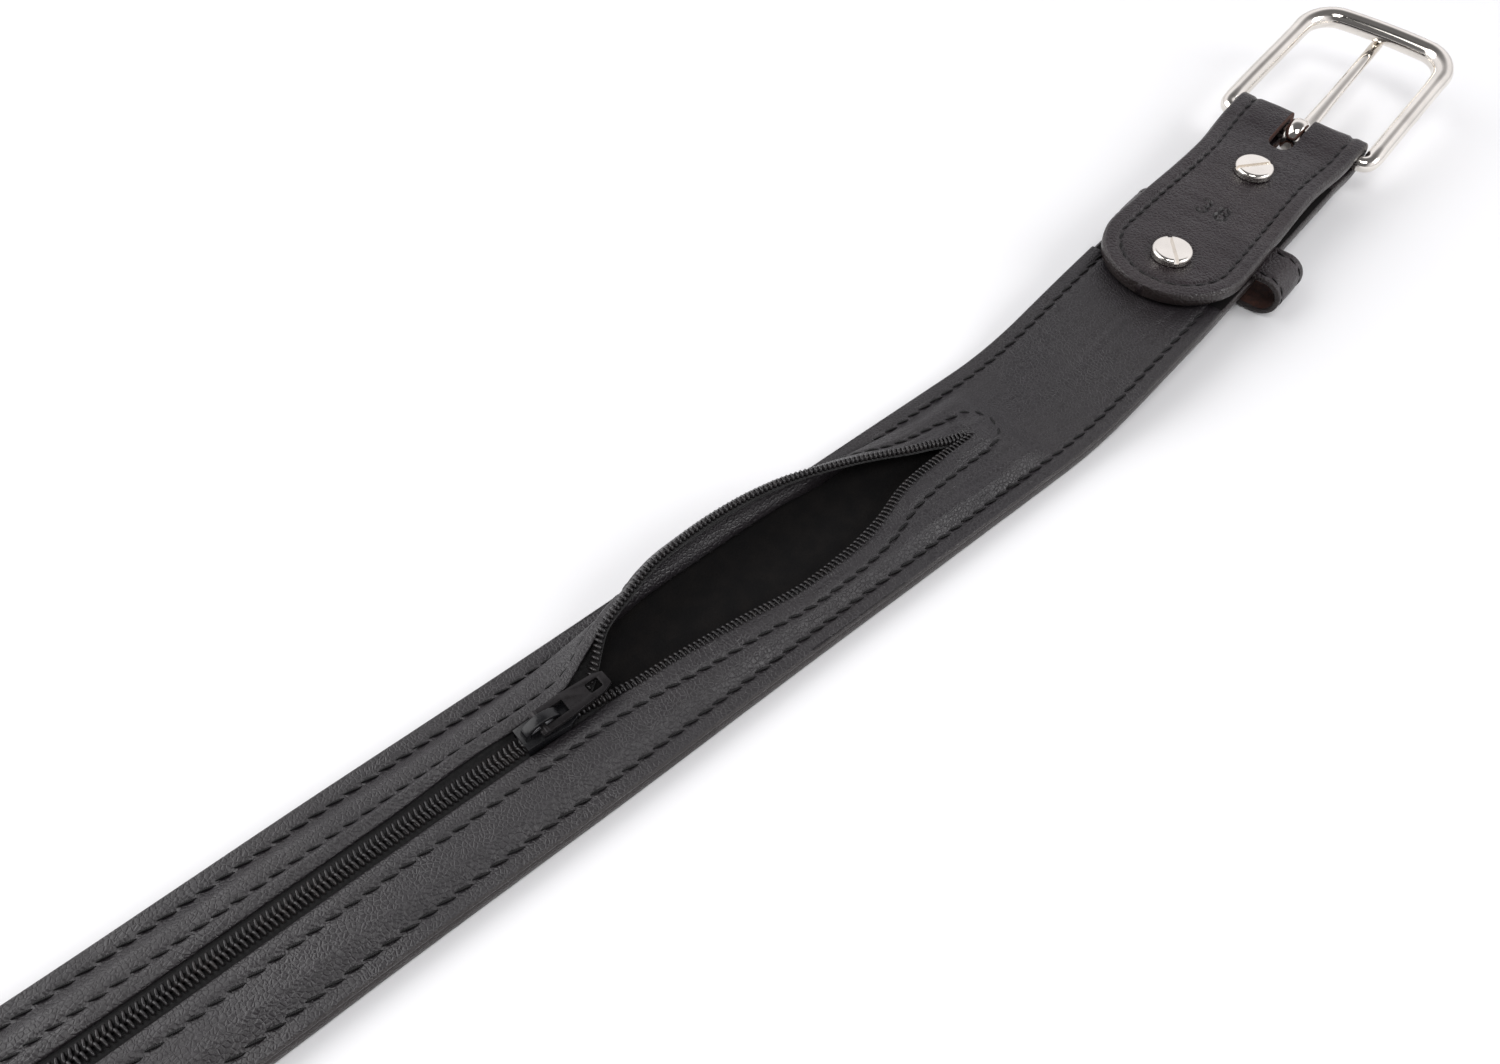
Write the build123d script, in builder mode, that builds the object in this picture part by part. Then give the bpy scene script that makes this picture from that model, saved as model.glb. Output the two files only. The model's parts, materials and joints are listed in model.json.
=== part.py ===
from build123d import *
import os
from math import atan, cos, degrees, radians, sin

os.makedirs("parts", exist_ok=True)

# A leather belt with a zipped money pocket behind its lining, lying face down.
# Millimetres. +X runs along the zipper towards the buckle, +Z is up, and z = 0 is the
# table. The origin is on the strap's front face, at the middle of its width, where the
# straight part ends. From there the belt turns a little to the left and rises to its head.

# ---- driving dimensions ----
BELT_W = 38.0          # width of the strap
STRAP_T = 3.0          # outer strap leather
LINING_T = 1.2         # pocket lining leather
LINER_T = 0.8          # thin layer under the flap
LINING_END = 79.0      # where the lining stops under the flap, from the bar
TIP_X = -935.0         # rounded tip of the tail
HOLE_R = 2.5           # punched prong holes
HOLE_PITCH = 25.4
HOLE_MID_X = -809.0    # middle hole, one belt size from the bar
HOLE_COUNT = 5

TURN_R = 355.0         # plan radius of the turn to the left
TURN = 9.2             # degrees turned
LIFT = 6.2             # height of the strap's front face at the keeper
HEAD_RUN = 83.0        # from the end of the turn to the bar

GAP = 2.5              # between strap and flap, where the keeper and the liner sit
BAR_R = 2.2            # buckle bar
FOLD_R = 2.5           # inside radius of the fold round the bar
FLAP_LEN = 89.0        # bar to flap tip
FLAP_ROUND = -70.0     # where its rounded end starts
FLAP_WAIST = 1.4       # how far the flap narrows on each side
SPREAD = 14.0          # length over which strap and flap part towards the fold
SLOT_W = 7.0           # prong slot across the fold
SLOT_BACK = 15.5       # how far the slot reaches back from the bar

SCREW_U = (-28.5, -73.5)     # screw places, from the bar
SCREW_SLOT_TURN = (-39.0, 40.0)    # how each slot happens to point, degrees from the strap
SCREW_HEAD_R = 5.2
SCREW_DOME = 1.9
POST_R = 2.45
POST_FLANGE_R = 4.6
POST_FLANGE_T = 1.0
SHANK_R = 1.45

KEEPER_U = -55.0       # middle of the keeper, from the bar
KEEPER_W = 14.0
KEEPER_T = 1.5
KEEPER_LEFT = 20.6     # inner sides of the loop
KEEPER_RIGHT = -26.0

FRAME_OUT = 52.5       # bar centre to the far edge of the buckle
FRAME_HALF_W = 21.8    # bar centre line to arm centre line
FRAME_ROD_R = 2.45
FRAME_FAR_Z = 18.5     # height of the far bar's centre over the table: the tight fold holds it up
PRONG_T = 2.4
PRONG_W = 4.6

ZIP_Y = 1.5            # the zipper lies a little left of the middle
ZIP_END = -8.0         # top stops, the closed end of the mouth
ZIP_LEN = 254.0
ZIP_BOTTOM = ZIP_END - ZIP_LEN
SLIDER_X = -131.5      # middle of the slider
SLIDER_LEN = 12.0
CHAIN_HALF = 2.1
CHAIN_Z = (4.65, 6.6)
TAPE_Z = (4.1, 4.6)
CROWN_TOP = 5.9        # top of the lining over the pocket
CROWN_HALF = 12.5      # half width of the raised part
CROWN_FOOT = 14.5      # where the lining meets the strap
SLOT_HALF = 4.0        # half width of the slot in the lining
MOUTH_LEFT = 9.5       # widest reach of the open mouth to each side of the zipper
MOUTH_RIGHT = -7.6
MOUTH_MID = -76.0      # where the mouth is widest
MOUTH_END = ZIP_END - 3.0    # where the open rows end, at the top stops

SEAM_EDGE = 3.8        # perimeter seam, in from the edge
SEAM_ZIP = 7.0         # zipper seam, out from the middle
THREAD_W = 0.6
THREAD_H = 0.3

# ---- derived places ----
half = BELT_W / 2
turn_end = (TURN_R * sin(radians(TURN)), TURN_R * (1 - cos(radians(TURN))))
BAR_X = turn_end[0] + HEAD_RUN * cos(radians(TURN))
BAR_Y = turn_end[1] + HEAD_RUN * sin(radians(TURN))
ALONG = (cos(radians(TURN)), sin(radians(TURN)), 0)
STRAP_TOP = LIFT + STRAP_T
FLAP_Z = STRAP_TOP + GAP
FLAP_TOP = FLAP_Z + STRAP_T
BAR_Z = STRAP_TOP + GAP / 2
FOLD_MID_R = FOLD_R + STRAP_T / 2

# planes of the head: plan view, side view along the strap, and cross view
head_plan = Plane(origin=(BAR_X, BAR_Y, 0), x_dir=ALONG, z_dir=(0, 0, 1))
head_side = Plane(origin=(BAR_X, BAR_Y, 0), x_dir=ALONG, z_dir=(ALONG[1], -ALONG[0], 0))


def zip_plane(z):
    """Horizontal plane at z, with its x axis along the middle of the zipper."""
    return Plane(origin=(0, ZIP_Y, z), x_dir=(1, 0, 0), z_dir=(0, 0, 1))


zip_side = Plane(origin=(0, ZIP_Y, 0), x_dir=(1, 0, 0), z_dir=(0, -1, 0))


def head_cross(u):
    """Plane across the strap at u from the bar: x to the left, y up, facing forward."""
    at = head_plan.from_local_coords(Vector(u, 0, 0))
    return Plane(origin=at, x_dir=(-ALONG[1], ALONG[0], 0), z_dir=ALONG)


def save(item, name):
    """Label a finished piece and write it."""
    item.part.label = name
    export_step(item.part, f"parts/{name}.step")


def s_bend(start, heading, length, rise):
    """Two equal tangent arcs that run on by length and shift by rise, in a BuildLine."""
    turn = degrees(2 * atan(abs(rise) / length))
    radius = length / (2 * sin(radians(turn)))
    way = 1 if rise > 0 else -1
    side = 1 if heading[0] > 0 else -1
    first = JernArc(start, heading, radius, side * way * turn)
    second = JernArc(first @ 1, first % 1, radius, -side * way * turn)
    return second @ 1


def tail_outline():
    """Plan outline of tail and turn, up to the straight head. Drawn inside a BuildLine."""
    a = radians(TURN)
    left_end = (turn_end[0] - half * sin(a), turn_end[1] + half * cos(a))
    right_end = (turn_end[0] + half * sin(a), turn_end[1] - half * cos(a))
    round_x = TIP_X + half
    Line((round_x, half), (0, half))
    CenterArc((0, TURN_R), TURN_R - half, -90, TURN)
    Line(left_end, right_end)
    CenterArc((0, TURN_R), TURN_R + half, -90, TURN)
    Line((0, -half), (round_x, -half))
    ThreePointArc((round_x, -half), (TIP_X, 0), (round_x, half))


def layer_path(mid_z):
    """Middle line of the strap leather in the XZ plane: flat on the tail, rising over the
    turn. Drawn inside a BuildLine."""
    Line((TIP_X - 5, mid_z), (0, mid_z))
    high = s_bend((0, mid_z), (1, 0), turn_end[0] - 4, LIFT)
    Line(high, (turn_end[0] + 6, mid_z + LIFT))


# ---- outer strap, folded back as the flap ----
with BuildPart() as outer_strap:
    with BuildSketch(Plane.XZ):
        with BuildLine():
            layer_path(STRAP_T / 2)
        trace(line_width=STRAP_T)
    extrude(amount=half + 30, both=True)
    with BuildSketch(Plane.XY.offset(-1)):
        with BuildLine():
            tail_outline()
        make_face()
    extrude(amount=30, mode=Mode.INTERSECT)
    with BuildSketch(head_side):
        with BuildLine():
            Line((-HEAD_RUN - 0.01, LIFT + STRAP_T / 2), (-SPREAD, LIFT + STRAP_T / 2))
            dip = BAR_Z - FOLD_MID_R - LIFT - STRAP_T / 2
            low = s_bend((-SPREAD, LIFT + STRAP_T / 2), (1, 0), SPREAD, dip)
            top = ThreePointArc(low, (FOLD_MID_R, BAR_Z), (0, BAR_Z + FOLD_MID_R)) @ 1
            back = s_bend(top, (-1, 0), SPREAD, FLAP_Z + STRAP_T / 2 - BAR_Z - FOLD_MID_R)
            Line(back, (-FLAP_LEN, FLAP_Z + STRAP_T / 2))
        trace(line_width=STRAP_T)
    extrude(amount=half, both=True)
    # the flap's plan: a slight waist and a wide rounded end
    with BuildSketch(head_plan.offset(FLAP_Z - 0.5)):
        Rectangle(FLAP_LEN + 2, BELT_W + 4, align=(Align.MAX, Align.CENTER))
        with BuildLine():
            Line((8, half), (-8, half))
            Spline((-8, half), (-26, half - FLAP_WAIST), (-58, half - 0.2), (FLAP_ROUND, half),
                   tangents=((-1, 0), (-1, 0)))
            ThreePointArc((FLAP_ROUND, half), (-FLAP_LEN, 0), (FLAP_ROUND, -half))
            Spline((FLAP_ROUND, -half), (-58, -half + 0.2), (-26, -half + FLAP_WAIST),
                   (-8, -half), tangents=((1, 0), (1, 0)))
            Line((-8, -half), (8, -half))
            Line((8, -half), (8, half))
        make_face(mode=Mode.SUBTRACT)
    extrude(amount=8, mode=Mode.SUBTRACT)
    # prong slot through the fold
    with BuildSketch(head_plan.offset(LIFT - 4)):
        with Locations((-SLOT_BACK / 2 + 5, 0)):
            SlotOverall(SLOT_BACK + 10 + SLOT_W, SLOT_W)
    extrude(amount=20, mode=Mode.SUBTRACT)
    # screw holes and punched prong holes
    with BuildSketch(head_plan.offset(LIFT - 1)):
        with Locations([(u, 0) for u in SCREW_U]):
            Circle(POST_R + 0.05)
    extrude(amount=12, mode=Mode.SUBTRACT)
    with BuildSketch(Plane.XY.offset(-1)):
        with Locations((HOLE_MID_X, 0)):
            with GridLocations(HOLE_PITCH, 0, HOLE_COUNT, 1):
                Circle(HOLE_R)
    extrude(amount=10, mode=Mode.SUBTRACT)
save(outer_strap, "outer_strap")

# ---- liner under the flap ----
with BuildPart() as flap_liner:
    with BuildSketch(head_plan.offset(FLAP_Z - LINER_T - 0.02)):
        with Locations((-SPREAD - 2, 0)):
            Rectangle(FLAP_LEN - SPREAD - 4, BELT_W - 3.6, align=(Align.MAX, Align.CENTER))
        with Locations([(u, 0) for u in SCREW_U]):
            Circle(POST_R + 0.05, mode=Mode.SUBTRACT)
        with Locations((-SLOT_BACK / 2 + 5, 0)):
            SlotOverall(SLOT_BACK + 10 + SLOT_W, SLOT_W, mode=Mode.SUBTRACT)
    extrude(amount=LINER_T)
    corners = flap_liner.edges().filter_by(Axis.Z).sort_by(Axis((0, 0, 0), ALONG))[:2]
    fillet(corners, radius=14)
save(flap_liner, "flap_liner")


def mouth_edge(side, shift=0.0):
    """One edge of the open mouth, from the slider to the top stops. Drawn in a BuildLine."""
    reach = (MOUTH_LEFT if side > 0 else -MOUTH_RIGHT) + shift
    slot = SLOT_HALF + shift
    front = SLIDER_X + SLIDER_LEN / 2
    return Spline((front, side * slot), (MOUTH_MID, side * reach),
                  (MOUTH_END, side * slot),
                  tangents=((1, side * 0.12), (1, -side * 0.05)))


# ---- pocket lining with its crown, slot and mouth ----
CROWN_ENDS = (ZIP_BOTTOM - 12.0, -1.0)
SLOT_START = ZIP_BOTTOM - 3.2
with BuildPart() as pocket_lining:
    with BuildSketch(Plane.XZ, mode=Mode.PRIVATE) as layers:
        with BuildLine() as middle:
            layer_path(STRAP_T / 2)
        trace(middle.edges(), line_width=STRAP_T + 2 * LINING_T)
        trace(middle.edges(), line_width=STRAP_T, mode=Mode.SUBTRACT)
    extrude(layers.sketch.faces().sort_by(Axis.Z)[-1], amount=half + 30, both=True)
    with BuildSketch(Plane.XY.offset(-1)):
        with BuildLine():
            tail_outline()
        make_face()
    extrude(amount=30, mode=Mode.INTERSECT)
    with BuildSketch(head_plan.offset(STRAP_TOP)):
        with Locations((-HEAD_RUN - 0.01, 0)):
            Rectangle(HEAD_RUN - LINING_END, BELT_W, align=(Align.MIN, Align.CENTER))
    extrude(amount=LINING_T)
    # the crown over the pocket, with the space under it
    with BuildSketch(Plane.YZ.offset(CROWN_ENDS[0])):
        with BuildLine():
            foot_z = STRAP_T + LINING_T - 0.01
            Polyline((-CROWN_FOOT, foot_z), (-CROWN_HALF, CROWN_TOP), (CROWN_HALF, CROWN_TOP),
                     (CROWN_FOOT, foot_z), close=True)
        make_face()
    extrude(amount=CROWN_ENDS[1] - CROWN_ENDS[0])
    with BuildSketch(Plane.YZ.offset(CROWN_ENDS[0] + 3)):
        with BuildLine():
            roof = CROWN_TOP - LINING_T
            Polyline((-CROWN_FOOT, STRAP_T - 1), (-CROWN_FOOT, STRAP_T), (-CROWN_HALF, roof),
                     (CROWN_HALF, roof), (CROWN_FOOT, STRAP_T), (CROWN_FOOT, STRAP_T - 1),
                     close=True)
        make_face()
    extrude(amount=CROWN_ENDS[1] - CROWN_ENDS[0] - 5, mode=Mode.SUBTRACT)
    # slot behind the slider, then the mouth
    with BuildSketch(zip_plane(STRAP_T)):
        with BuildLine():
            front = SLIDER_X + SLIDER_LEN / 2
            Line((SLOT_START, SLOT_HALF), (front, SLOT_HALF))
            left_edge = mouth_edge(1)
            right_edge = mouth_edge(-1)
            notch = (ZIP_END + 0.4, CHAIN_HALF + 1.2)
            Line(left_edge @ 1, notch)
            Line(notch, (notch[0], -notch[1]))
            Line((notch[0], -notch[1]), right_edge @ 1)
            Line((front, -SLOT_HALF), (SLOT_START, -SLOT_HALF))
            Line((SLOT_START, -SLOT_HALF), (SLOT_START, SLOT_HALF))
        make_face()
    extrude(amount=6, mode=Mode.SUBTRACT)
    with BuildSketch(Plane.XY.offset(-1)):
        with Locations((HOLE_MID_X, 0)):
            with GridLocations(HOLE_PITCH, 0, HOLE_COUNT, 1):
                Circle(HOLE_R)
    extrude(amount=10, mode=Mode.SUBTRACT)
save(pocket_lining, "pocket_lining")


# ---- zipper: a tape and a coil row on each side ----
def row_plan(side, closed, opened):
    """Plan outline of one side of the zipper. closed gives its two edges behind the slider,
    from the middle, and opened gives them from the mouth's edge. Drawn in a BuildLine."""
    rear = SLIDER_X - 1.0
    ends = []
    for straight, shift in zip(closed, opened):
        Line((ZIP_BOTTOM, side * straight), (rear, side * straight))
        curve = mouth_edge(side, shift)
        Line((rear, side * straight), curve @ 0)
        ends.append(curve @ 1)
    Line(ends[0], ends[1])
    Line((ZIP_BOTTOM, side * closed[0]), (ZIP_BOTTOM, side * closed[1]))


for name, side in (("left", 1), ("right", -1)):
    with BuildPart() as zipper_teeth:
        with BuildSketch(zip_plane(CHAIN_Z[0])):
            with BuildLine():
                row_plan(side, (0.03, CHAIN_HALF), (-2.9, -0.9))
            make_face()
        extrude(amount=CHAIN_Z[1] - CHAIN_Z[0])
    save(zipper_teeth, f"zipper_teeth_{name}")
    with BuildPart() as zipper_tape:
        with BuildSketch(zip_plane(TAPE_Z[0])):
            with BuildLine():
                row_plan(side, (0.6, 9.0), (-3.0, 1.2))
            make_face()
        extrude(amount=TAPE_Z[1] - TAPE_Z[0])
    save(zipper_tape, f"zipper_tape_{name}")

# ---- stops ----
with BuildPart() as top_stops:
    for side in (1, -1):
        with BuildSketch(zip_plane(CHAIN_Z[0])):
            with Locations((MOUTH_END + 1.3, side * 1.25)):
                RectangleRounded(2.2, 2.0, 0.5)
        extrude(amount=0.7)
save(top_stops, "top_stops")

with BuildPart() as bottom_stop:
    with BuildSketch(zip_plane(CHAIN_Z[0])):
        with Locations((ZIP_BOTTOM - 1.6, 0)):
            RectangleRounded(3.0, 5.0, 0.7)
    extrude(amount=1.9)
save(bottom_stop, "bottom_stop")

# ---- slider ----
PLATE_LOW = (3.3, 4.0)
PLATE_TOP = (6.8, 7.6)
with BuildPart() as slider_body:
    for low, high in (PLATE_LOW, PLATE_TOP):
        with BuildSketch(zip_plane(low)):
            with BuildLine():
                x0, x1 = SLIDER_X - SLIDER_LEN / 2, SLIDER_X + SLIDER_LEN / 2
                Polyline((x0, 2.8), (x0 + 4, 2.9), (x1 - 2.5, 3.5), (x1, 2.7), (x1, -2.7),
                         (x1 - 2.5, -3.5), (x0 + 4, -2.9), (x0, -2.8), close=True)
            make_face()
        extrude(amount=high - low)
    with BuildSketch(zip_plane(PLATE_LOW[0])):
        with Locations((SLIDER_X + SLIDER_LEN / 2 - 1.6, 0)):
            Ellipse(1.3, 0.5)
    extrude(amount=PLATE_TOP[1] - PLATE_LOW[0])
    for side in (1, -1):
        with BuildSketch(zip_plane(4.8)):
            with BuildLine():
                Polyline((x0, side * 2.4), (x0 + 4, side * 2.4), (x1 - 2.5, side * 3.05),
                         (x1 - 2.5, side * 3.5), (x0 + 4, side * 2.9), (x0, side * 2.8),
                         close=True)
            make_face()
        extrude(amount=PLATE_TOP[1] - 4.8)
save(slider_body, "slider_body")

PIVOT_X = SLIDER_X - 1.0
PIVOT_Z = PLATE_TOP[1] + 1.25
AXLE_R = 0.7
with BuildPart() as slider_bridge:
    with BuildSketch(zip_side):
        with BuildLine():
            base = PLATE_TOP[1]
            Line((PIVOT_X - 4.4, base), (PIVOT_X - 4.0, base + 1.6))
            ThreePointArc((PIVOT_X - 4.0, base + 1.6), (PIVOT_X, base + 3.2),
                          (PIVOT_X + 4.0, base + 1.6))
            Line((PIVOT_X + 4.0, base + 1.6), (PIVOT_X + 4.4, base))
            Line((PIVOT_X + 4.4, base), (PIVOT_X - 4.4, base))
        make_face()
        with BuildLine(mode=Mode.PRIVATE) as hollow:
            Line((PIVOT_X - 3.2, base), (PIVOT_X - 2.9, base + 1.3))
            ThreePointArc((PIVOT_X - 2.9, base + 1.3), (PIVOT_X, base + 2.3),
                          (PIVOT_X + 2.9, base + 1.3))
            Line((PIVOT_X + 2.9, base + 1.3), (PIVOT_X + 3.2, base))
            Line((PIVOT_X + 3.2, base), (PIVOT_X - 3.2, base))
        make_face(hollow.edges(), mode=Mode.SUBTRACT)
    extrude(amount=1.1, both=True)
save(slider_bridge, "slider_bridge")

with BuildPart() as slider_lock_spring:
    with BuildSketch(zip_plane(PLATE_TOP[1])):
        with Locations((PIVOT_X, 0)):
            Rectangle(5.2, 1.0)
    extrude(amount=0.22)
save(slider_lock_spring, "slider_lock_spring")

# the pull tab: an axle under the bridge, two cheeks, and a tapered plate with a window
TAB_LEN = 16.0
TAB_T = 0.9
with BuildPart() as pull_tab:
    with BuildSketch(zip_plane(PIVOT_Z - TAB_T / 2)):
        with BuildLine():
            Polyline((PIVOT_X - 1.2, 2.9), (PIVOT_X + 6, 2.9), (PIVOT_X + TAB_LEN - 2, 2.4),
                     (PIVOT_X + TAB_LEN, 1.6), (PIVOT_X + TAB_LEN, -1.6),
                     (PIVOT_X + TAB_LEN - 2, -2.4), (PIVOT_X + 6, -2.9),
                     (PIVOT_X - 1.2, -2.9), close=True)
        make_face()
        with Locations((PIVOT_X + 2.4, 0)):
            Rectangle(7.2, 3.0, mode=Mode.SUBTRACT)
        with Locations((PIVOT_X + TAB_LEN - 3.2, 0)):
            RectangleRounded(3.0, 2.5, 0.4, mode=Mode.SUBTRACT)
    extrude(amount=TAB_T)
    with BuildSketch(zip_side.offset(-2.9)):
        with Locations((PIVOT_X, PIVOT_Z)):
            Circle(AXLE_R)
    extrude(amount=5.8)
save(pull_tab, "pull_tab")

# ---- buckle frame: one rod bent into a loop, its near side is the bar ----
SLOPE = atan((FRAME_FAR_Z - BAR_Z) / (FRAME_OUT - FRAME_ROD_R))
frame_plan = Plane(origin=(BAR_X, BAR_Y, BAR_Z),
                   x_dir=(ALONG[0] * cos(SLOPE), ALONG[1] * cos(SLOPE), sin(SLOPE)),
                   z_dir=(-ALONG[0] * sin(SLOPE), -ALONG[1] * sin(SLOPE), cos(SLOPE)))
frame_side = Plane(origin=frame_plan.origin, x_dir=frame_plan.x_dir, z_dir=-frame_plan.y_dir)
FAR_U = (FRAME_OUT - FRAME_ROD_R) / cos(SLOPE)
HEEL_R = 2.5
FAR_CORNER_R = 8.5
with BuildPart() as buckle_frame:
    with BuildLine(frame_plan) as loop:
        arm_y, corner = FRAME_HALF_W, FAR_CORNER_R
        CenterArc((HEEL_R, arm_y - HEEL_R), HEEL_R, 180, -90)
        Line((HEEL_R, arm_y), (FAR_U - corner, arm_y))
        CenterArc((FAR_U - corner, arm_y - corner), corner, 90, -90)
        Line((FAR_U, arm_y - corner), (FAR_U, -arm_y + corner))
        CenterArc((FAR_U - corner, -arm_y + corner), corner, 0, -90)
        Line((FAR_U - corner, -arm_y), (HEEL_R, -arm_y))
        CenterArc((HEEL_R, -arm_y + HEEL_R), HEEL_R, -90, -90)
    start = frame_plan.from_local_coords(Vector(0, FRAME_HALF_W - HEEL_R, 0))
    with BuildSketch(Plane(origin=start, x_dir=frame_plan.x_dir, z_dir=frame_plan.y_dir)):
        Circle(FRAME_ROD_R)
    sweep()
    with BuildSketch(frame_side):
        Circle(BAR_R)
    extrude(amount=FRAME_HALF_W - HEEL_R + 0.5, both=True)
save(buckle_frame, "buckle_frame")

# ---- prong: curled round the bar, its tip under the far bar ----
CURL_R = BAR_R + 0.15 + PRONG_T / 2
PRONG_DROP = FRAME_ROD_R + 0.3 + PRONG_T / 2
with BuildPart() as buckle_prong:
    with BuildSketch(frame_side):
        with BuildLine() as prong_path:
            curl = CenterArc((0, 0), CURL_R, 20, 250)
            shank = s_bend(curl @ 1, (1, 0), 12, CURL_R - PRONG_DROP)
            Line(shank, (FAR_U + 2.0, -PRONG_DROP))
        trace(line_width=PRONG_T)
    extrude(amount=PRONG_W / 2, both=True)
    tip = buckle_prong.edges().filter_by(Axis((0, 0, 0), tuple(frame_plan.z_dir)))
    fillet(tip.sort_by(Axis((0, 0, 0), ALONG))[-2:], radius=1.8)
save(buckle_prong, "buckle_prong")

# ---- screws and the posts they go into ----
for name, u, turn in zip(("near_buckle", "near_keeper"), SCREW_U, SCREW_SLOT_TURN):
    with BuildPart() as screw:
        with BuildSketch(head_plan.offset(FLAP_TOP)):
            with Locations((u, 0)):
                Circle(SCREW_HEAD_R)
        extrude(amount=SCREW_DOME)
        fillet(screw.edges().sort_by(Axis.Z)[-1], radius=0.9)
        with BuildSketch(head_plan.offset(FLAP_TOP + SCREW_DOME - 0.9)):
            with Locations((u, 0)):
                Rectangle(2 * SCREW_HEAD_R + 1, 1.2, rotation=turn)
        extrude(amount=2, mode=Mode.SUBTRACT)
        with BuildSketch(head_plan.offset(FLAP_TOP)):
            with Locations((u, 0)):
                Circle(SHANK_R)
        extrude(amount=-6)
    save(screw, f"screw_{name}")
    with BuildPart() as post:
        with BuildSketch(head_plan.offset(LIFT - POST_FLANGE_T)):
            with Locations((u, 0)):
                Circle(POST_FLANGE_R)
        extrude(amount=POST_FLANGE_T)
        with BuildSketch(head_plan.offset(LIFT)):
            with Locations((u, 0)):
                Circle(POST_R)
        extrude(amount=FLAP_TOP - LIFT - 0.6)
        with BuildSketch(head_plan.offset(LIFT + 1)):
            with Locations((u, 0)):
                Circle(SHANK_R + 0.05)
        extrude(amount=12, mode=Mode.SUBTRACT)
    save(post, f"post_{name}")

# ---- keeper: a closed leather loop held between the two posts ----
KEEPER_TOP = STRAP_TOP + 0.15 + KEEPER_T
STAPLE = (8.0, 1.2, 0.45)
keeper_mid = ((KEEPER_LEFT + KEEPER_RIGHT) / 2, KEEPER_TOP / 2)
keeper_wide = KEEPER_LEFT - KEEPER_RIGHT
with BuildPart() as keeper_loop:
    with BuildSketch(head_cross(KEEPER_U)):
        with Locations(keeper_mid):
            RectangleRounded(keeper_wide + 2 * KEEPER_T, KEEPER_TOP, 3.0)
            RectangleRounded(keeper_wide, KEEPER_TOP - 2 * KEEPER_T, 1.6, mode=Mode.SUBTRACT)
    extrude(amount=KEEPER_W / 2, both=True)
    with BuildSketch(head_plan.offset(KEEPER_TOP - STAPLE[2] - 0.05)):
        with Locations((KEEPER_U, 0)):
            Rectangle(STAPLE[0], STAPLE[1])
    extrude(amount=1, mode=Mode.SUBTRACT)
save(keeper_loop, "keeper_loop")

with BuildPart() as keeper_staple:
    with BuildSketch(head_plan.offset(KEEPER_TOP - STAPLE[2] - 0.05)):
        with Locations((KEEPER_U, 0)):
            Rectangle(STAPLE[0], STAPLE[1])
    extrude(amount=STAPLE[2])
save(keeper_staple, "keeper_staple")

# ---- sewing threads, as plain strips along their seams ----
with BuildPart() as perimeter_thread:
    with BuildSketch(Plane.XY.offset(STRAP_T + LINING_T)):
        with BuildLine():
            seam_y = half - SEAM_EDGE
            turn_x = TIP_X + half
            Line((-0.5, seam_y), (turn_x, seam_y))
            ThreePointArc((turn_x, seam_y), (TIP_X + SEAM_EDGE, 0), (turn_x, -seam_y))
            Line((turn_x, -seam_y), (-0.5, -seam_y))
        trace(line_width=THREAD_W)
    extrude(amount=THREAD_H)
save(perimeter_thread, "perimeter_thread")

with BuildPart() as zipper_seam_thread:
    with BuildSketch(zip_plane(CROWN_TOP)):
        with BuildLine():
            start = ZIP_BOTTOM - 6.0
            front = SLIDER_X + SLIDER_LEN / 2
            turn_x = ZIP_END - 2.0
            for side, reach in ((1, MOUTH_LEFT + 1.15), (-1, MOUTH_RIGHT - 2.0)):
                Line((start, side * SEAM_ZIP), (front, side * SEAM_ZIP))
                Spline((front, side * SEAM_ZIP), (MOUTH_MID, side * abs(reach)), (turn_x, side * 6.3),
                       tangents=((1, 0), (1, 0)))
            ThreePointArc((turn_x, 6.3), (turn_x + 6.3, 0), (turn_x, -6.3))
            Line((start, SEAM_ZIP), (start, -SEAM_ZIP))
        trace(line_width=THREAD_W)
    extrude(amount=THREAD_H)
save(zipper_seam_thread, "zipper_seam_thread")

with BuildPart() as flap_thread:
    with BuildSketch(head_plan.offset(FLAP_TOP)):
        with BuildLine():
            side_y = half - 4.6
            Line((-SPREAD - 2, side_y), (FLAP_ROUND, side_y))
            ThreePointArc((FLAP_ROUND, side_y), (-FLAP_LEN + 4.6, 0), (FLAP_ROUND, -side_y))
            Line((FLAP_ROUND, -side_y), (-SPREAD - 2, -side_y))
        trace(line_width=THREAD_W)
    extrude(amount=THREAD_H)
save(flap_thread, "flap_thread")

with BuildPart() as keeper_thread:
    for shift in (-KEEPER_W / 2 + 1.8, KEEPER_W / 2 - 1.8):
        with BuildSketch(head_cross(KEEPER_U + shift)):
            with Locations((KEEPER_RIGHT - KEEPER_T - THREAD_H / 2, KEEPER_TOP / 2)):
                Rectangle(THREAD_H, 2.0)
        extrude(amount=THREAD_W / 2, both=True)
save(keeper_thread, "keeper_thread")
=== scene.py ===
import bmesh
import bpy
import json
from bisect import bisect_left
from math import asin, atan, atan2, ceil, copysign, cos, exp, hypot, pi, radians, sin, sqrt
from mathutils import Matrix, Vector, noise


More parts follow.
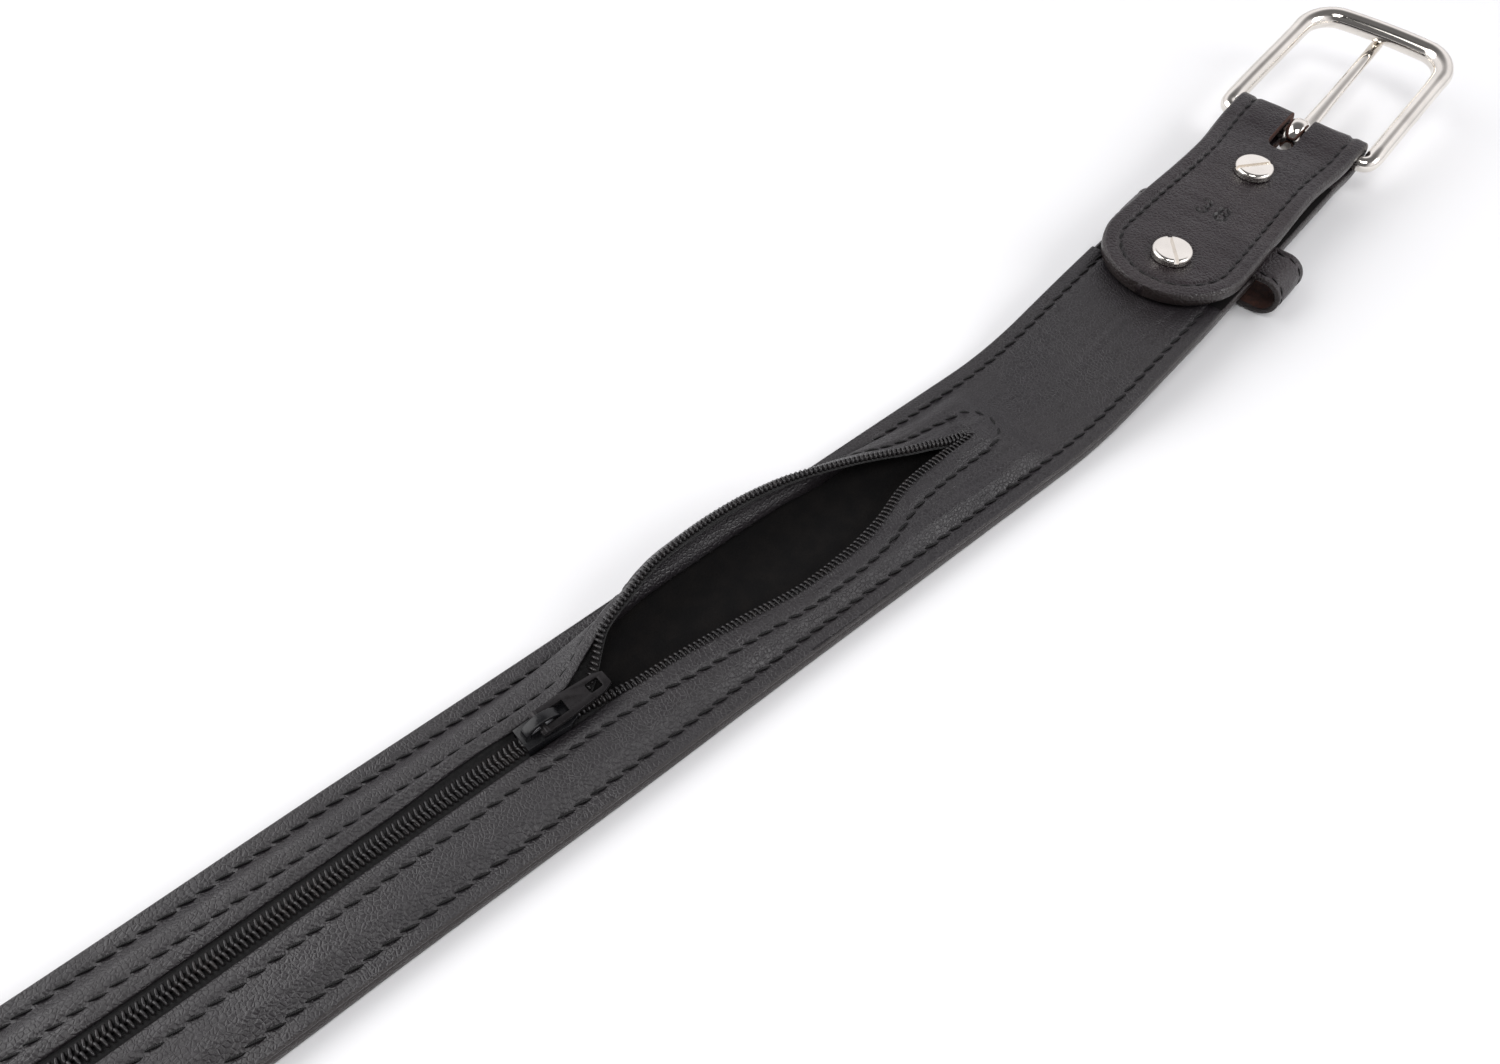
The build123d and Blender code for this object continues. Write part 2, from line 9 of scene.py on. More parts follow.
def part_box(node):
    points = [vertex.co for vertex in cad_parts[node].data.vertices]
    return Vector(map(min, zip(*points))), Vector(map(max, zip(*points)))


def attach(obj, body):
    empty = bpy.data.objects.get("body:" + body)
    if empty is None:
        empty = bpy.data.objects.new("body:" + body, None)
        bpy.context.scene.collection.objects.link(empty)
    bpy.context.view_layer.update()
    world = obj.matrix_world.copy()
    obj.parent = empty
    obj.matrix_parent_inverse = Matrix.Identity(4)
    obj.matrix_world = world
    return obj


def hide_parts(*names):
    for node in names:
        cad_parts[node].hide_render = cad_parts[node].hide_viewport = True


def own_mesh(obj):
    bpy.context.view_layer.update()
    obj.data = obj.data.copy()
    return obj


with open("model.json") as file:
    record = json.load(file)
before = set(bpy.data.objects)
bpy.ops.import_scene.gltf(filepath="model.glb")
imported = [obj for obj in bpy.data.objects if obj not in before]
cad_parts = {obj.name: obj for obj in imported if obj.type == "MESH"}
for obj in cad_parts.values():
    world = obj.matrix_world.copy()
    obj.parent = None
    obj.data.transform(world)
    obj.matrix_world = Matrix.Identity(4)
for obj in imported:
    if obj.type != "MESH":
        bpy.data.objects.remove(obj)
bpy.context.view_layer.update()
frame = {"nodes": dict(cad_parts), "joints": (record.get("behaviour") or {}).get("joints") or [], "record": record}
MM = 0.001

# ---- driving dimensions, in metres ----
HALF = 0.019            # half the strap's width
STRAP_T = 0.0030        # outer strap leather
LINING_T = 0.0012
TURN_R = 0.355          # plan radius of the belt's turn to the left
LIFT = 0.0062           # the head's height over the table
GAP = 0.0025            # between strap and flap
FOLD_R = 0.0040         # middle of the leather round the bar
SPREAD = 0.014          # length over which strap and flap part
FLAP_LEN = 0.089
FLAP_ROUND = 0.070
SLOT_W = 0.0068         # prong slot
SLOT_BACK = 0.0150
STAMP = (0.044, 0.057)  # the stamped size, from here to here behind the bar
SCREW_HOLE_R = 0.0026
SCREW_HEAD_R = 0.0056   # a little outside the head, where the leather dimples
PRONG_HOLE_R = 0.0025
LINING_BACK = 0.079     # the lining and its seam end this far behind the bar
CROWN = 0.0017          # how far the lining rises over the pocket
POCKET_FOOT = 0.0149    # where the lining comes down beside the pocket
POCKET_END = 0.014      # the pocket runs this far past the zipper's lower end
SLOT_HALF = 0.0040      # half width of the zipper's slot at its lower end
SLOT_ROUND = 0.003      # length of the slot's rounded ends
CHAIN_HALF = 0.0021
COIL_PITCH = 0.00118
THREAD_R = 0.00033
PITCH = 0.0038          # stitch to stitch
SEAM_EDGE = 0.0038      # seams, in from the leather's edge
SEAM_FLAP = 0.0045
SEAM_Y = 0.0070         # zipper's seam, out from the chain
SEAM_TURN = -0.0105     # where it starts to turn round the closed end

# ---- places, from the frame ----
def middle(node):
    low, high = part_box(node)
    return (low + high) / 2


joints = {j["name"]: j for j in frame["joints"]}
BAR = Vector(joints["buckle_turn"]["pos_m"])
TURN = asin(joints["buckle_turn"]["axis"][0])
ALONG = Vector((cos(TURN), sin(TURN), 0))
LEFT = Vector((-sin(TURN), cos(TURN), 0))
UP = Vector((0, 0, 1))
ARC = TURN_R * TURN
TURN_END = Vector((TURN_R * sin(TURN), TURN_R * (1 - cos(TURN)), 0))
HEAD_RUN = (Vector((BAR.x, BAR.y, 0)) - TURN_END).length
RISE_X = TURN_END.x - 0.004
TIP_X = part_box("outer_strap")[0].x
STRAP_TOP = LIFT + STRAP_T
FLAP_Z = STRAP_TOP + GAP
FLAP_TOP = FLAP_Z + STRAP_T
LINING_TOP = STRAP_T + LINING_T
SLIDER = middle("slider_body")
SLIDER_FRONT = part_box("slider_body")[1].x    # the mouth opens here
ZIP_Y = SLIDER.y
ZIP_BOTTOM, ZIP_TOP = (corner.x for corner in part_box("zipper_teeth_left"))
SLOT_START = ZIP_BOTTOM - 0.003
SLOT_STOP = ZIP_TOP + 0.0004
POCKET_START = ZIP_BOTTOM - POCKET_END
CHAIN_Z = middle("zipper_teeth_left").z


def middle_u(node):
    """How far a node's middle lies from the bar, along the head."""
    return (middle(node) - BAR).dot(ALONG)


SCREWS = [middle_u("screw_near_buckle"), middle_u("screw_near_keeper")]
KEEPER_U = middle_u("keeper_loop")
HOLE_XS = [m["pos_m"][0] for m in frame["record"].get("mounts", [])
           if m["name"].startswith("prong_hole")]


# ---- small maths ----
def clamp(t):
    return min(1.0, max(0.0, t))


def smooth(t):
    t = clamp(t)
    return t * t * (3 - 2 * t)


def ease(t):
    return 2 * t * t if t < 0.5 else 1 - 2 * (1 - t) ** 2


def mix(a, b, t):
    return a + (b - a) * t


def through(*points):
    """A smooth function through the given (x, value) points."""
    xs, ys = zip(*points)
    rates = [(b[1] - a[1]) / (b[0] - a[0]) for a, b in zip(points, points[1:])]
    slope = [0.0 if a * b <= 0 else 2 * a * b / (a + b) for a, b in zip(rates, rates[1:])]
    slope = [0.0, *slope, 0.0]

    def value(x):
        x = min(max(x, xs[0]), xs[-1])
        i = max(bisect_left(xs, x), 1) - 1
        w = xs[i + 1] - xs[i]
        t = (x - xs[i]) / w
        return ((2 * t**3 - 3 * t**2 + 1) * ys[i] + (t**3 - 2 * t**2 + t) * w * slope[i]
                + (3 * t**2 - 2 * t**3) * ys[i + 1] + (t**3 - t**2) * w * slope[i + 1])
    return value


def wave(x, y, z, size):
    """Seeded noise of about -1 to 1, with features of the given size."""
    return noise.noise(Vector((x, y, z)) / size)


def steps(start, stop, step):
    n = max(1, ceil(abs(stop - start) / step))
    return [mix(start, stop, i / n) for i in range(n + 1)]


def arc(x, y, r, start, stop, step):
    """Points of a plan arc round (x, y); angles from +x towards +y."""
    return [(x + r * cos(a), y + r * sin(a)) for a in steps(start, stop, step)]


def turn(n):
    return [2 * pi * i / n for i in range(n)]


def left_of(t):
    return Vector((-t.y, t.x))


SIDES = ((1, "left"), (-1, "right"))


# ---- the belt's own coordinates: s along it, v to the left, h over its front face ----
def place(s, v, h):
    v += 0.00022 * wave(s, 0.3, 0, 0.05) * smooth(-s / 0.05)
    if s < 0:
        x, y = s, v
    elif s < ARC:
        a = s / TURN_R
        x, y = (TURN_R - v) * sin(a), TURN_R - (TURN_R - v) * cos(a)
    else:
        x = TURN_END.x + ALONG.x * (s - ARC) + LEFT.x * v
        y = TURN_END.y + ALONG.y * (s - ARC) + LEFT.y * v
    return Vector((x, y, LIFT * ease(clamp(x / RISE_X)) + h))


def head(u, v, z):
    """A point of the head: u from the bar, v to the left, z over the table."""
    p = BAR + ALONG * u + LEFT * v
    return Vector((p.x, p.y, z))


# ---- materials ----
def node_of(tree, kind, **values):
    n = tree.nodes.new(kind)
    for key, value in values.items():
        if key in n.inputs:
            n.inputs[key].default_value = value
        else:
            setattr(n, key.lower(), value)
    return n


def ranged(tree, fac, low, high, to_low=0.0, to_high=1.0):
    n = tree.nodes.new("ShaderNodeMapRange")
    for i, value in enumerate((low, high, to_low, to_high)):
        n.inputs[i + 1].default_value = value
    tree.links.new(fac, n.inputs[0])
    return n.outputs[0]


class Finish:
    """A procedural material built from layers of noise."""

    def __init__(self, name, color, rough, metal=0.0):
        self.mat = bpy.data.materials.new(name)
        self.mat.use_nodes = True
        self.tree = self.mat.node_tree
        self.shader = self.tree.nodes["Principled BSDF"]
        self.base = (*color, 1)
        self.set(Base_Color=self.base, Roughness=rough, Metallic=metal)
        self.coords = node_of(self.tree, "ShaderNodeTexCoord").outputs["Object"]
        self.color = self.height = None

    def link(self, a, b):
        self.tree.links.new(a, b)

    def set(self, **values):
        for key, value in values.items():
            self.shader.inputs[key.replace("_", " ")].default_value = value
        return self

    def stretched(self, scale):
        m = node_of(self.tree, "ShaderNodeMapping")
        m.inputs["Scale"].default_value = scale
        self.link(self.coords, m.inputs["Vector"])
        return m.outputs["Vector"]

    def noise(self, size, detail=3.0, rough=0.55, stretch=(1, 1, 1)):
        n = node_of(self.tree, "ShaderNodeTexNoise", Scale=1 / size, Detail=detail, Roughness=rough)
        self.link(self.stretched(stretch), n.inputs["Vector"])
        return n.outputs["Fac"]

    def cells(self, size, stretch=(1, 1, 1)):
        n = node_of(self.tree, "ShaderNodeTexVoronoi", Scale=1 / size, Randomness=1.0,
                    Feature="DISTANCE_TO_EDGE")
        self.link(self.stretched(stretch), n.inputs["Vector"])
        return n.outputs["Distance"]

    def attribute(self, name):
        return node_of(self.tree, "ShaderNodeAttribute", Attribute_Name=name).outputs["Fac"]

    def tint(self, fac, color, low=0.4, high=0.7, amount=1.0):
        """Mix a colour in where fac is high."""
        m = node_of(self.tree, "ShaderNodeMix", Data_Type="RGBA")
        self.link(ranged(self.tree, fac, low, high, 0.0, amount), m.inputs[0])
        m.inputs[6].default_value = self.base
        if self.color is not None:
            self.link(self.color, m.inputs[6])
        m.inputs[7].default_value = (*color, 1)
        self.color = m.outputs[2]
        self.link(self.color, self.shader.inputs["Base Color"])

    def roughen(self, fac, low, high, frm=0.3, to=0.7):
        self.link(ranged(self.tree, fac, frm, to, low, high), self.shader.inputs["Roughness"])

    def bump(self, fac, depth, strength=1.0):
        b = node_of(self.tree, "ShaderNodeBump", Strength=strength, Distance=depth)
        self.link(fac, b.inputs["Height"])
        if self.height is not None:
            self.link(self.height, b.inputs["Normal"])
        self.height = b.outputs["Normal"]
        self.link(self.height, self.shader.inputs["Normal"])


def leather(name, color, warm, rough, grain, gloss):
    f = Finish(name, color, rough)
    f.tint(f.noise(0.030, 4), warm, 0.42, 0.75, 0.8)
    f.tint(f.noise(0.0022, 2), tuple(c * 2.1 for c in color), 0.55, 0.8, 0.5)
    f.tint(f.attribute("edge"), (0.014, 0.0092, 0.0080), 0.3, 0.9, 0.75)
    # painted shade: the leather is darkened where its face dips, in the seam groove, the stamp and the dimples at
    # the screws
    f.tint(f.attribute("dip_shade"), tuple(c * 0.30 for c in color), 0.15, 0.85, 0.85)
    f.roughen(f.noise(0.012, 5), rough - 0.08, rough + 0.10)
    f.bump(ranged(f.tree, f.cells(grain), 0.0, 0.22), 0.00011, 0.70)
    f.bump(f.noise(grain * 0.33, 3), 0.00005, 0.45)
    f.bump(f.noise(0.0075, 4, 0.55, (0.30, 1, 1)), 0.00055, 0.55)
    f.bump(f.noise(0.0016, 4, 0.6, (1, 1, 0.2)), 0.00030, 0.25)
    return f.set(Specular_IOR_Level=gloss)


def raw_leather():
    f = Finish("raw_leather", (0.085, 0.030, 0.018), 0.85)
    f.tint(f.noise(0.0012, 4), (0.030, 0.012, 0.009), 0.35, 0.7)
    f.bump(f.noise(0.0005, 4, 0.7), 0.0003, 0.8)
    return f


def pocket_cloth():
    """Matt black flesh side of the strap, inside the pocket."""
    f = Finish("pocket_suede", (0.0045, 0.0042, 0.0044), 0.92)
    f.tint(f.noise(0.004, 4), (0.0075, 0.0065, 0.0062), 0.4, 0.7)
    f.bump(f.noise(0.0005, 4, 0.7), 0.00015, 0.6)
    return f.set(Specular_IOR_Level=0.15)


def thread_finish():
    f = Finish("thread_black", (0.0040, 0.0037, 0.0040), 0.45)
    w = node_of(f.tree, "ShaderNodeTexWave", Scale=900.0, Distortion=1.5)
    f.link(f.stretched((1, 0.5, 0.4)), w.inputs["Vector"])
    f.bump(w.outputs["Fac"], 0.00008, 0.7)
    f.tint(f.noise(0.0006, 3), (0.0070, 0.0065, 0.0068), 0.5, 0.75)
    return f.set(Specular_IOR_Level=0.25)


def woven_tape():
    f = Finish("tape_weave", (0.0050, 0.0046, 0.0050), 0.85)
    for stretch in ((1, 0.0, 0.0), (0.0, 1, 0.6)):
        w = node_of(f.tree, "ShaderNodeTexWave", Scale=480.0, Distortion=0.4)
        f.link(f.stretched(stretch), w.inputs["Vector"])
        w.bands_direction = "DIAGONAL"
        f.bump(w.outputs["Fac"], 0.00010, 0.8)
    f.tint(f.noise(0.0008, 3), (0.012, 0.011, 0.0115), 0.45, 0.7)
    return f.set(Sheen_Weight=0.1)


def coil_plastic():
    f = Finish("coil_nylon", (0.0110, 0.0098, 0.0105), 0.28)
    f.tint(f.noise(0.004, 3), (0.019, 0.0155, 0.0150), 0.45, 0.75)
    f.roughen(f.noise(0.0012, 3), 0.22, 0.40)
    f.bump(f.noise(0.0003, 3), 0.00003, 0.6)
    return f


def painted(name, color, rough, metal=0.0):
    """Glossy black lacquer on cast metal, dulled and chipped a little."""
    f = Finish(name, color, rough, metal)
    f.tint(f.noise(0.0018, 5, 0.65), tuple(mix(c, 0.30, 0.12) for c in color), 0.64, 0.74, 0.4)
    f.roughen(f.noise(0.0015, 4), rough - 0.05, rough + 0.14)
    f.bump(f.noise(0.0012, 4, 0.6), 0.00003, 0.3)
    return f.set(Specular_IOR_Level=0.35)


def polished(name, color, rough):
    """Plated metal with hairline scratches and faint clouding."""
    f = Finish(name, color, rough, 1.0)
    f.tint(f.noise(0.010, 4), tuple(c * 0.86 for c in color), 0.4, 0.7)
    f.roughen(f.noise(0.0016, 5, 0.6, (1, 6, 1)), rough - 0.03, rough + 0.07)
    f.bump(f.noise(0.0010, 5, 0.6, (0.15, 1, 1)), 0.00001, 0.35)
    f.bump(f.noise(0.009, 2), 0.00009, 0.12)
    return f


STRAP = leather("leather_dress", (0.0102, 0.0062, 0.0082), (0.0160, 0.0098, 0.0112),
                0.36, 0.0011, 0.48).mat
LINING = leather("leather_lining", (0.0104, 0.0084, 0.0104), (0.0150, 0.0120, 0.0132),
                 0.44, 0.0009, 0.58).mat
RAW = raw_leather().mat
POCKET = pocket_cloth().mat
THREAD = thread_finish().mat
TAPE = woven_tape().mat
COIL = coil_plastic().mat
SLIDER_PAINT = painted("slider_lacquer", (0.006, 0.006, 0.007), 0.20).mat
PULL_METAL = painted("pull_gunmetal", (0.024, 0.022, 0.023), 0.24, 0.6).mat
NICKEL = polished("nickel_plate", (0.85, 0.81, 0.755), 0.08).mat
SPRING = polished("spring_metal", (0.50, 0.50, 0.52), 0.28).mat


# ---- mesh helpers ----
def add_object(name, data):
    obj = bpy.data.objects.new(name, data)
    bpy.context.scene.collection.objects.link(obj)
    return obj


def apply_modifiers(obj):
    graph = bpy.context.evaluated_depsgraph_get()
    mesh = bpy.data.meshes.new_from_object(obj.evaluated_get(graph))
    obj.modifiers.clear()
    obj.data = mesh


def make(name, verts, faces, mats, slot, body="belt", replaces=(), attrs=None, face_mats=None):
    mesh = bpy.data.meshes.new(name)
    mesh.from_pydata([tuple(v) for v in verts], [], faces)
    for m in mats:
        mesh.materials.append(m)
    for key, values in (attrs or {}).items():
        mesh.attributes.new(key, "FLOAT", "POINT").data.foreach_set("value", values)
    mesh.polygons.foreach_set("use_smooth", [True] * len(mesh.polygons))
    if face_mats:
        mesh.polygons.foreach_set("material_index", face_mats)
    mesh.validate()
    mesh.update()
    obj = add_object(name, mesh)
    if slot:
        belong(obj, body, replaces)
    return obj


def belong(obj, body, replaces):
    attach(obj, body)
    if replaces:
        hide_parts(*replaces)


def loft(rings, loop=False):
    """Faces of a tube through equal rings, numbered ring by ring."""
    n, m = len(rings), len(rings[0])
    faces = []
    for i in range(n if loop else n - 1):
        a, b = i * m, ((i + 1) % n) * m
        for j in range(m):
            k = (j + 1) % m
            faces.append((a + j, a + k, b + k, b + j))
    if not loop:
        faces.append(tuple(range(m))[::-1])
        faces.append(tuple(range((n - 1) * m, n * m)))
    return faces


def flat(rings):
    return [p for ring in rings for p in ring]


def add_tube(verts, faces, rings, loop=False):
    """Add a small tube through equal rings to a mesh in the making."""
    first = len(verts)
    verts += flat(rings)
    faces += [tuple(first + v for v in f[::-1]) for f in loft(rings, loop=loop)]


def heading(line, i, loop=False):
    """Direction of a line of vectors at its i-th point."""
    n = len(line)
    ahead = line[(i + 1) % n] if loop or i < n - 1 else line[i]
    behind = line[i - 1] if loop or i else line[i]
    return (ahead - behind).normalized()


def section(w, low, high, cols_high, cols_low, r=0.0006, turns=4):
    """Closed outline of a strip of leather, as (v, h, edge): its high face from left to
    right, round the right side, back along the low face and up the left side."""
    r = min(r, 0.45 * (high - low), 0.8 * w)
    corner = [pi / 2 * k / turns for k in range(1, turns)]
    rim = [(w - r * (1 - sin(a)), r * (1 - cos(a))) for a in corner]
    out = [(c * (w - r), high, 0.0) for c in cols_high]
    out += [(-v, high - d, 1.0) for v, d in rim] + [(-w, (low + high) / 2, 1.0)]
    out += [(-v, low + d, 1.0) for v, d in reversed(rim)]
    out += [(-c * (w - r), low, 0.0) for c in cols_low]
    out += [(v, low + d, 1.0) for v, d in rim] + [(w, (low + high) / 2, 1.0)]
    return out + [(v, high - d, 1.0) for v, d in reversed(rim)]


def cut(obj, cutters):
    """Subtract the cutters, which give the cut walls their own material."""
    for c in cutters:
        m = obj.modifiers.new("cut", "BOOLEAN")
        m.operation, m.solver, m.object = "DIFFERENCE", "EXACT", c
        m.material_mode = "TRANSFER"
    apply_modifiers(obj)
    for c in cutters:
        bpy.data.objects.remove(c)


def prism(outline, low, high):
    """A cutter: a plan outline of points between two heights, with raw walls."""
    rings = [[Vector((p.x, p.y, z)) for p in outline] for z in (low, high)]
    return make("cutter", flat(rings), loft(rings), [RAW], None)


def round_hole(centre, r, low, high, n=40):
    outline = [centre + Vector((cos(a), sin(a), 0)) * r for a in turn(n)]
    return prism(outline, low, high)


def tube(name, points, ups, section_at, slot, mats, body="belt", replaces=(), loop=False):
    """Sweep section_at(i), a closed list of (across, up), along points."""
    rings = []
    for i, p in enumerate(points):
        t = heading(points, i, loop)
        across = t.cross(ups[i]).normalized()
        up = across.cross(t)
        rings.append([p + across * a + up * b for a, b in section_at(i)])
    return make(name, flat(rings), loft(rings, loop=loop), mats, slot, body, replaces)


def oval(a, b, n=16, power=2.0):
    """Closed superellipse outline, a across and b up."""
    out = []
    for angle in turn(n):
        c, s = cos(angle), sin(angle)
        out.append((a * copysign(abs(c) ** (2 / power), c),
                    b * copysign(abs(s) ** (2 / power), s)))
    return out


def measured(points):
    """The length of a line of tuples of vectors, of which the first is the place, and a
    function that gives the tuple at a distance along it, with the line's direction."""
    lengths = [0.0]
    for a, b in zip(points, points[1:]):
        lengths.append(lengths[-1] + (b[0] - a[0]).length)

    def at(d):
        i = min(max(bisect_left(lengths, d), 1), len(points) - 1)
        t = clamp((d - lengths[i - 1]) / max(lengths[i] - lengths[i - 1], 1e-9))
        direction = (points[i][0] - points[i - 1][0]).normalized()
        return [a.lerp(b, t) for a, b in zip(points[i - 1], points[i])] + [direction]
    return lengths[-1], at


def stitches(name, runs, replaces=(), pitch=PITCH, radius=THREAD_R):
    """Saddle stitches along runs: lists of (point, normal) close together. Each stitch is a
    bowed length of thread with its ends sunk in the leather, a little slanted."""
    verts, faces = [], []
    ring, parts, ahead = 6, 5, 0.0004
    for points in runs:
        total, at = measured(points)
        for n in range(int(total / pitch)):
            start = (n + 0.02) * pitch
            stop = start + 0.96 * pitch
            slant = 0.00042 * (1 + 0.4 * wave(n, 0.5, 0, 1.7))
            rings = []
            for k in range(parts):
                t = k / (parts - 1)
                d = mix(start, stop, t)
                p, nrm, _ = at(d)
                tangent = (at(d + ahead)[0] - p).normalized()
                side = tangent.cross(nrm).normalized()
                bow = sin(pi * t) ** 0.7
                r = radius * (0.45 + 0.55 * bow)
                centre = p + nrm * (radius * (1.15 * bow - 0.90)) + side * slant * (2 * t - 1)
                rings.append([centre + side * cos(a) * r + nrm * sin(a) * r
                              for a in turn(ring)])
            add_tube(verts, faces, rings)
    return make(name, verts, faces, [THREAD], "thread", replaces=replaces)


# ---- outlines of flap and tail ----
waist = through((0.0, 0.0), (0.008, 0.0), (0.027, 0.0014), (0.058, 0.0003), (0.070, 0.0))


def flap_half(back):
    """Half width of the flap, back from the bar."""
    if back > FLAP_ROUND:
        return sqrt(max(0.0, HALF**2 - (back - FLAP_ROUND) ** 2))
    return HALF - waist(back)


def tail_half(x):
    d = x - TIP_X
    return sqrt(max(0.0, HALF**2 - (HALF - d) ** 2)) if d < HALF else HALF


def tip_stations(n, first):
    """Stations along the round tip, close together where it curves most."""
    return [TIP_X + (HALF * (1 - cos(pi / 2 * k / n)) if k else first) for k in range(n)]


def groove(d, width=0.00070, depth=0.00042):
    return depth * exp(-(d / width) ** 2)


# ---- the size stamp: a 3 and an 8, as strokes in a 3 x 5 mm box ----
def stamp_depth(back, v):
    """Depth of the debossed number 38 between the screws, read across the belt."""
    digits = ((2.9, (((0, 1.25), 1.25, -1.7, 2.7), ((0, -1.3), 1.4, -2.7, 1.7))),
              (-2.5, (((0, 1.25), 1.15, -pi, pi), ((0, -1.3), 1.4, -pi, pi))))
    y = (sum(STAMP) / 2 - back) / MM
    nearest = 9.0
    for shift, arcs in digits:
        x = shift - v / MM
        for (cx, cy), r, start, stop in arcs:
            dx, dy = x - cx, y - cy
            if start <= atan2(dy, dx) <= stop:
                nearest = min(nearest, abs(hypot(dx, dy) - r))
    return 0.00075 * smooth((0.68 - nearest) / 0.42)


def flap_relief(back, v):
    """How far the flap's face dips: its seam, the stamp and dimples at the screws."""
    if back < FLAP_ROUND:
        off = flap_half(back) - abs(v)
    else:
        off = HALF - hypot(back - FLAP_ROUND, v)
    dip = groove(off - SEAM_FLAP, depth=0.00045) if back > -0.004 else 0.0
    dip -= 0.00050 * smooth((SEAM_FLAP + 0.0002 - off) / 0.0012) * smooth((back - 0.002) / 0.008)
    for u in SCREWS:
        d = hypot(back + u, v) - SCREW_HEAD_R
        dip += 0.00030 * exp(-(d / 0.0011) ** 2)
    if STAMP[0] < back < STAMP[1] and abs(v) < 0.008:
        dip += stamp_depth(back, v)
    swell = 0.00022 * wave(back, v, 0.1, 0.011) + 0.00012 * wave(back * 2.4, v, 0.7, 0.006)
    return dip + swell * smooth(off / 0.003)


# ---- outer strap ----
def fold_path():
    """The leather's middle line (u, z, heading) from the strap round the bar to the flap tip."""
    low_z, strap_z = BAR.z - FOLD_R, LIFT + STRAP_T / 2
    high_z, flap_z = BAR.z + FOLD_R, FLAP_Z + STRAP_T / 2
    line = [(u, mix(strap_z, low_z, ease(1 + u / SPREAD))) for u in steps(-SPREAD, 0, 0.0014)[:-1]]
    line += arc(0, BAR.z, FOLD_R, -pi / 2, pi / 2, 0.16)[:-1]
    line += [(u, mix(high_z, flap_z, ease(-u / SPREAD))) for u in steps(0, -SPREAD, 0.0010)[:-1]]
    backs = steps(SPREAD, STAMP[0], 0.0010)[:-1] + steps(*STAMP, 0.00034)[:-1]
    backs += steps(STAMP[1], FLAP_ROUND, 0.0010)[:-1]
    backs += [FLAP_ROUND + HALF * sin(pi / 2 * k / 22) for k in range(22)] + [FLAP_LEN - 0.00004]
    line += [(-b, flap_z) for b in backs]
    line = [Vector(p) for p in line]
    return [(*p, heading(line, i)) for i, p in enumerate(line)]


WIDE = [1 - 2 * i / 18 for i in range(19)]
FINE = [s * v for v in steps(0.42, 1.0, 0.030) for s in (1, -1)] + steps(-0.42, 0.42, 0.020)
FINE = sorted({round(v, 4) for v in FINE}, reverse=True)


def build_strap():
    rings, edge, dip_shade = [], [], []
    tail = tip_stations(22, 0.00004)
    tail += steps(TIP_X + HALF, -0.145, 0.0028)[:-1]
    tail += steps(-0.145, ARC + HEAD_RUN - SPREAD, 0.0014)[:-1]
    for s in tail:
        ring = []
        for v, h, e in section(tail_half(s), 0.0, STRAP_T, WIDE, FINE, 0.0007):
            off = tail_half(s) - abs(v)
            if h < 0.0005:
                h += groove(off - SEAM_EDGE, depth=0.00040)
            ring.append(place(s, v, h))
            edge.append(e)
            dip_shade.append(0.0)
        rings.append(ring)
    for u, z, d in fold_path():
        # the section's high face is the leather's inner side, towards the bar
        normal = left_of(d)
        on_flap = d.x < 0.2
        w = flap_half(-u) if on_flap else HALF
        ring = []
        for v, h, e in section(w, -STRAP_T / 2, STRAP_T / 2, WIDE, FINE, 0.0008):
            dip = flap_relief(-u, v) if h < 0 and on_flap and e == 0 else 0.0
            h += dip
            if abs(v) > 0.6 * w and on_flap and u < 0:
                h += 0.00035 * wave(u, v, 0.4, 0.014) * smooth((abs(v) / w - 0.6) / 0.4)
            ring.append(head(u + normal.x * h, v, z + normal.y * h))
            edge.append(e)
            # painted shade: how deep the face dips, kept so that the material can darken the dips
            dip_shade.append(clamp(dip / 0.00065))
        rings.append(ring)
    faces = loft(rings)
    m = len(rings[0])
    inside = [2 if k // m < len(tail) and k % m < len(WIDE) - 1 else 0 for k in range(len(faces))]
    strap = make("outer_strap_leather", flat(rings), faces, [STRAP, RAW, POCKET], None,
                 attrs={"edge": edge, "dip_shade": dip_shade}, face_mats=inside)
    cutters = [prism(slot_outline(), LIFT - 0.006, FLAP_TOP + 0.006)]
    cutters += [round_hole(head(u, 0, 0), SCREW_HOLE_R, LIFT - 0.004, FLAP_TOP + 0.004)
                for u in SCREWS]
    cut(strap, cutters + prong_holes(-0.004, 0.004))
    belong(strap, "belt", ["outer_strap"])


def prong_holes(low, high):
    return [round_hole(Vector((x, 0, 0)), PRONG_HOLE_R, low, high) for x in HOLE_XS]


def slot_outline():
    """Plan outline of the prong slot, round at its back end and open past the fold."""
    r, past = SLOT_W / 2, 0.012
    back = -SLOT_BACK + r
    plan = [(past, -r)] + arc(back, 0, r, -pi / 2, -3 * pi / 2, 0.2) + [(past, r)]
    return [head(u, v, 0) for u, v in reversed(plan)]


# ---- pocket lining: crown, slot, and the open mouth with its raised left lip ----
lip_y_left = through((-0.165, ZIP_Y + SLOT_HALF), (-0.148, 0.0060), (-0.132, 0.0054),
                     (-0.126, 0.0058), (-0.116, 0.0096), (-0.105, 0.0134), (-0.092, 0.0164),
                     (-0.078, 0.0172), (-0.060, 0.0158), (-0.042, 0.0116), (-0.026, 0.0062),
                     (-0.016, 0.0042), (ZIP_TOP, 0.0034))
lip_z_left = through((-0.172, 0.0059), (-0.150, 0.0068), (-0.136, 0.0074), (-0.126, 0.0084),
                     (-0.116, 0.0100), (-0.105, 0.0116), (-0.090, 0.0134), (-0.070, 0.0134),
                     (-0.050, 0.0116), (-0.034, 0.0092), (-0.020, 0.0072), (ZIP_TOP, 0.0062))
lip_y_right = through((-0.150, 0.0022), (-0.122, 0.0023), (-0.110, 0.0028), (-0.096, 0.0040),
                      (-0.084, 0.0052), (-0.068, 0.0070), (-0.058, 0.0067), (-0.047, 0.0052),
                      (-0.034, 0.0016), (-0.026, 0.0008), (ZIP_TOP, 0.0002))
lip_z_right = through((SLIDER_FRONT - 0.004, 0.0059), (-0.100, 0.0062), (-0.076, 0.0056),
                      (-0.050, 0.0062), (-0.030, 0.0066), (ZIP_TOP, 0.0062))
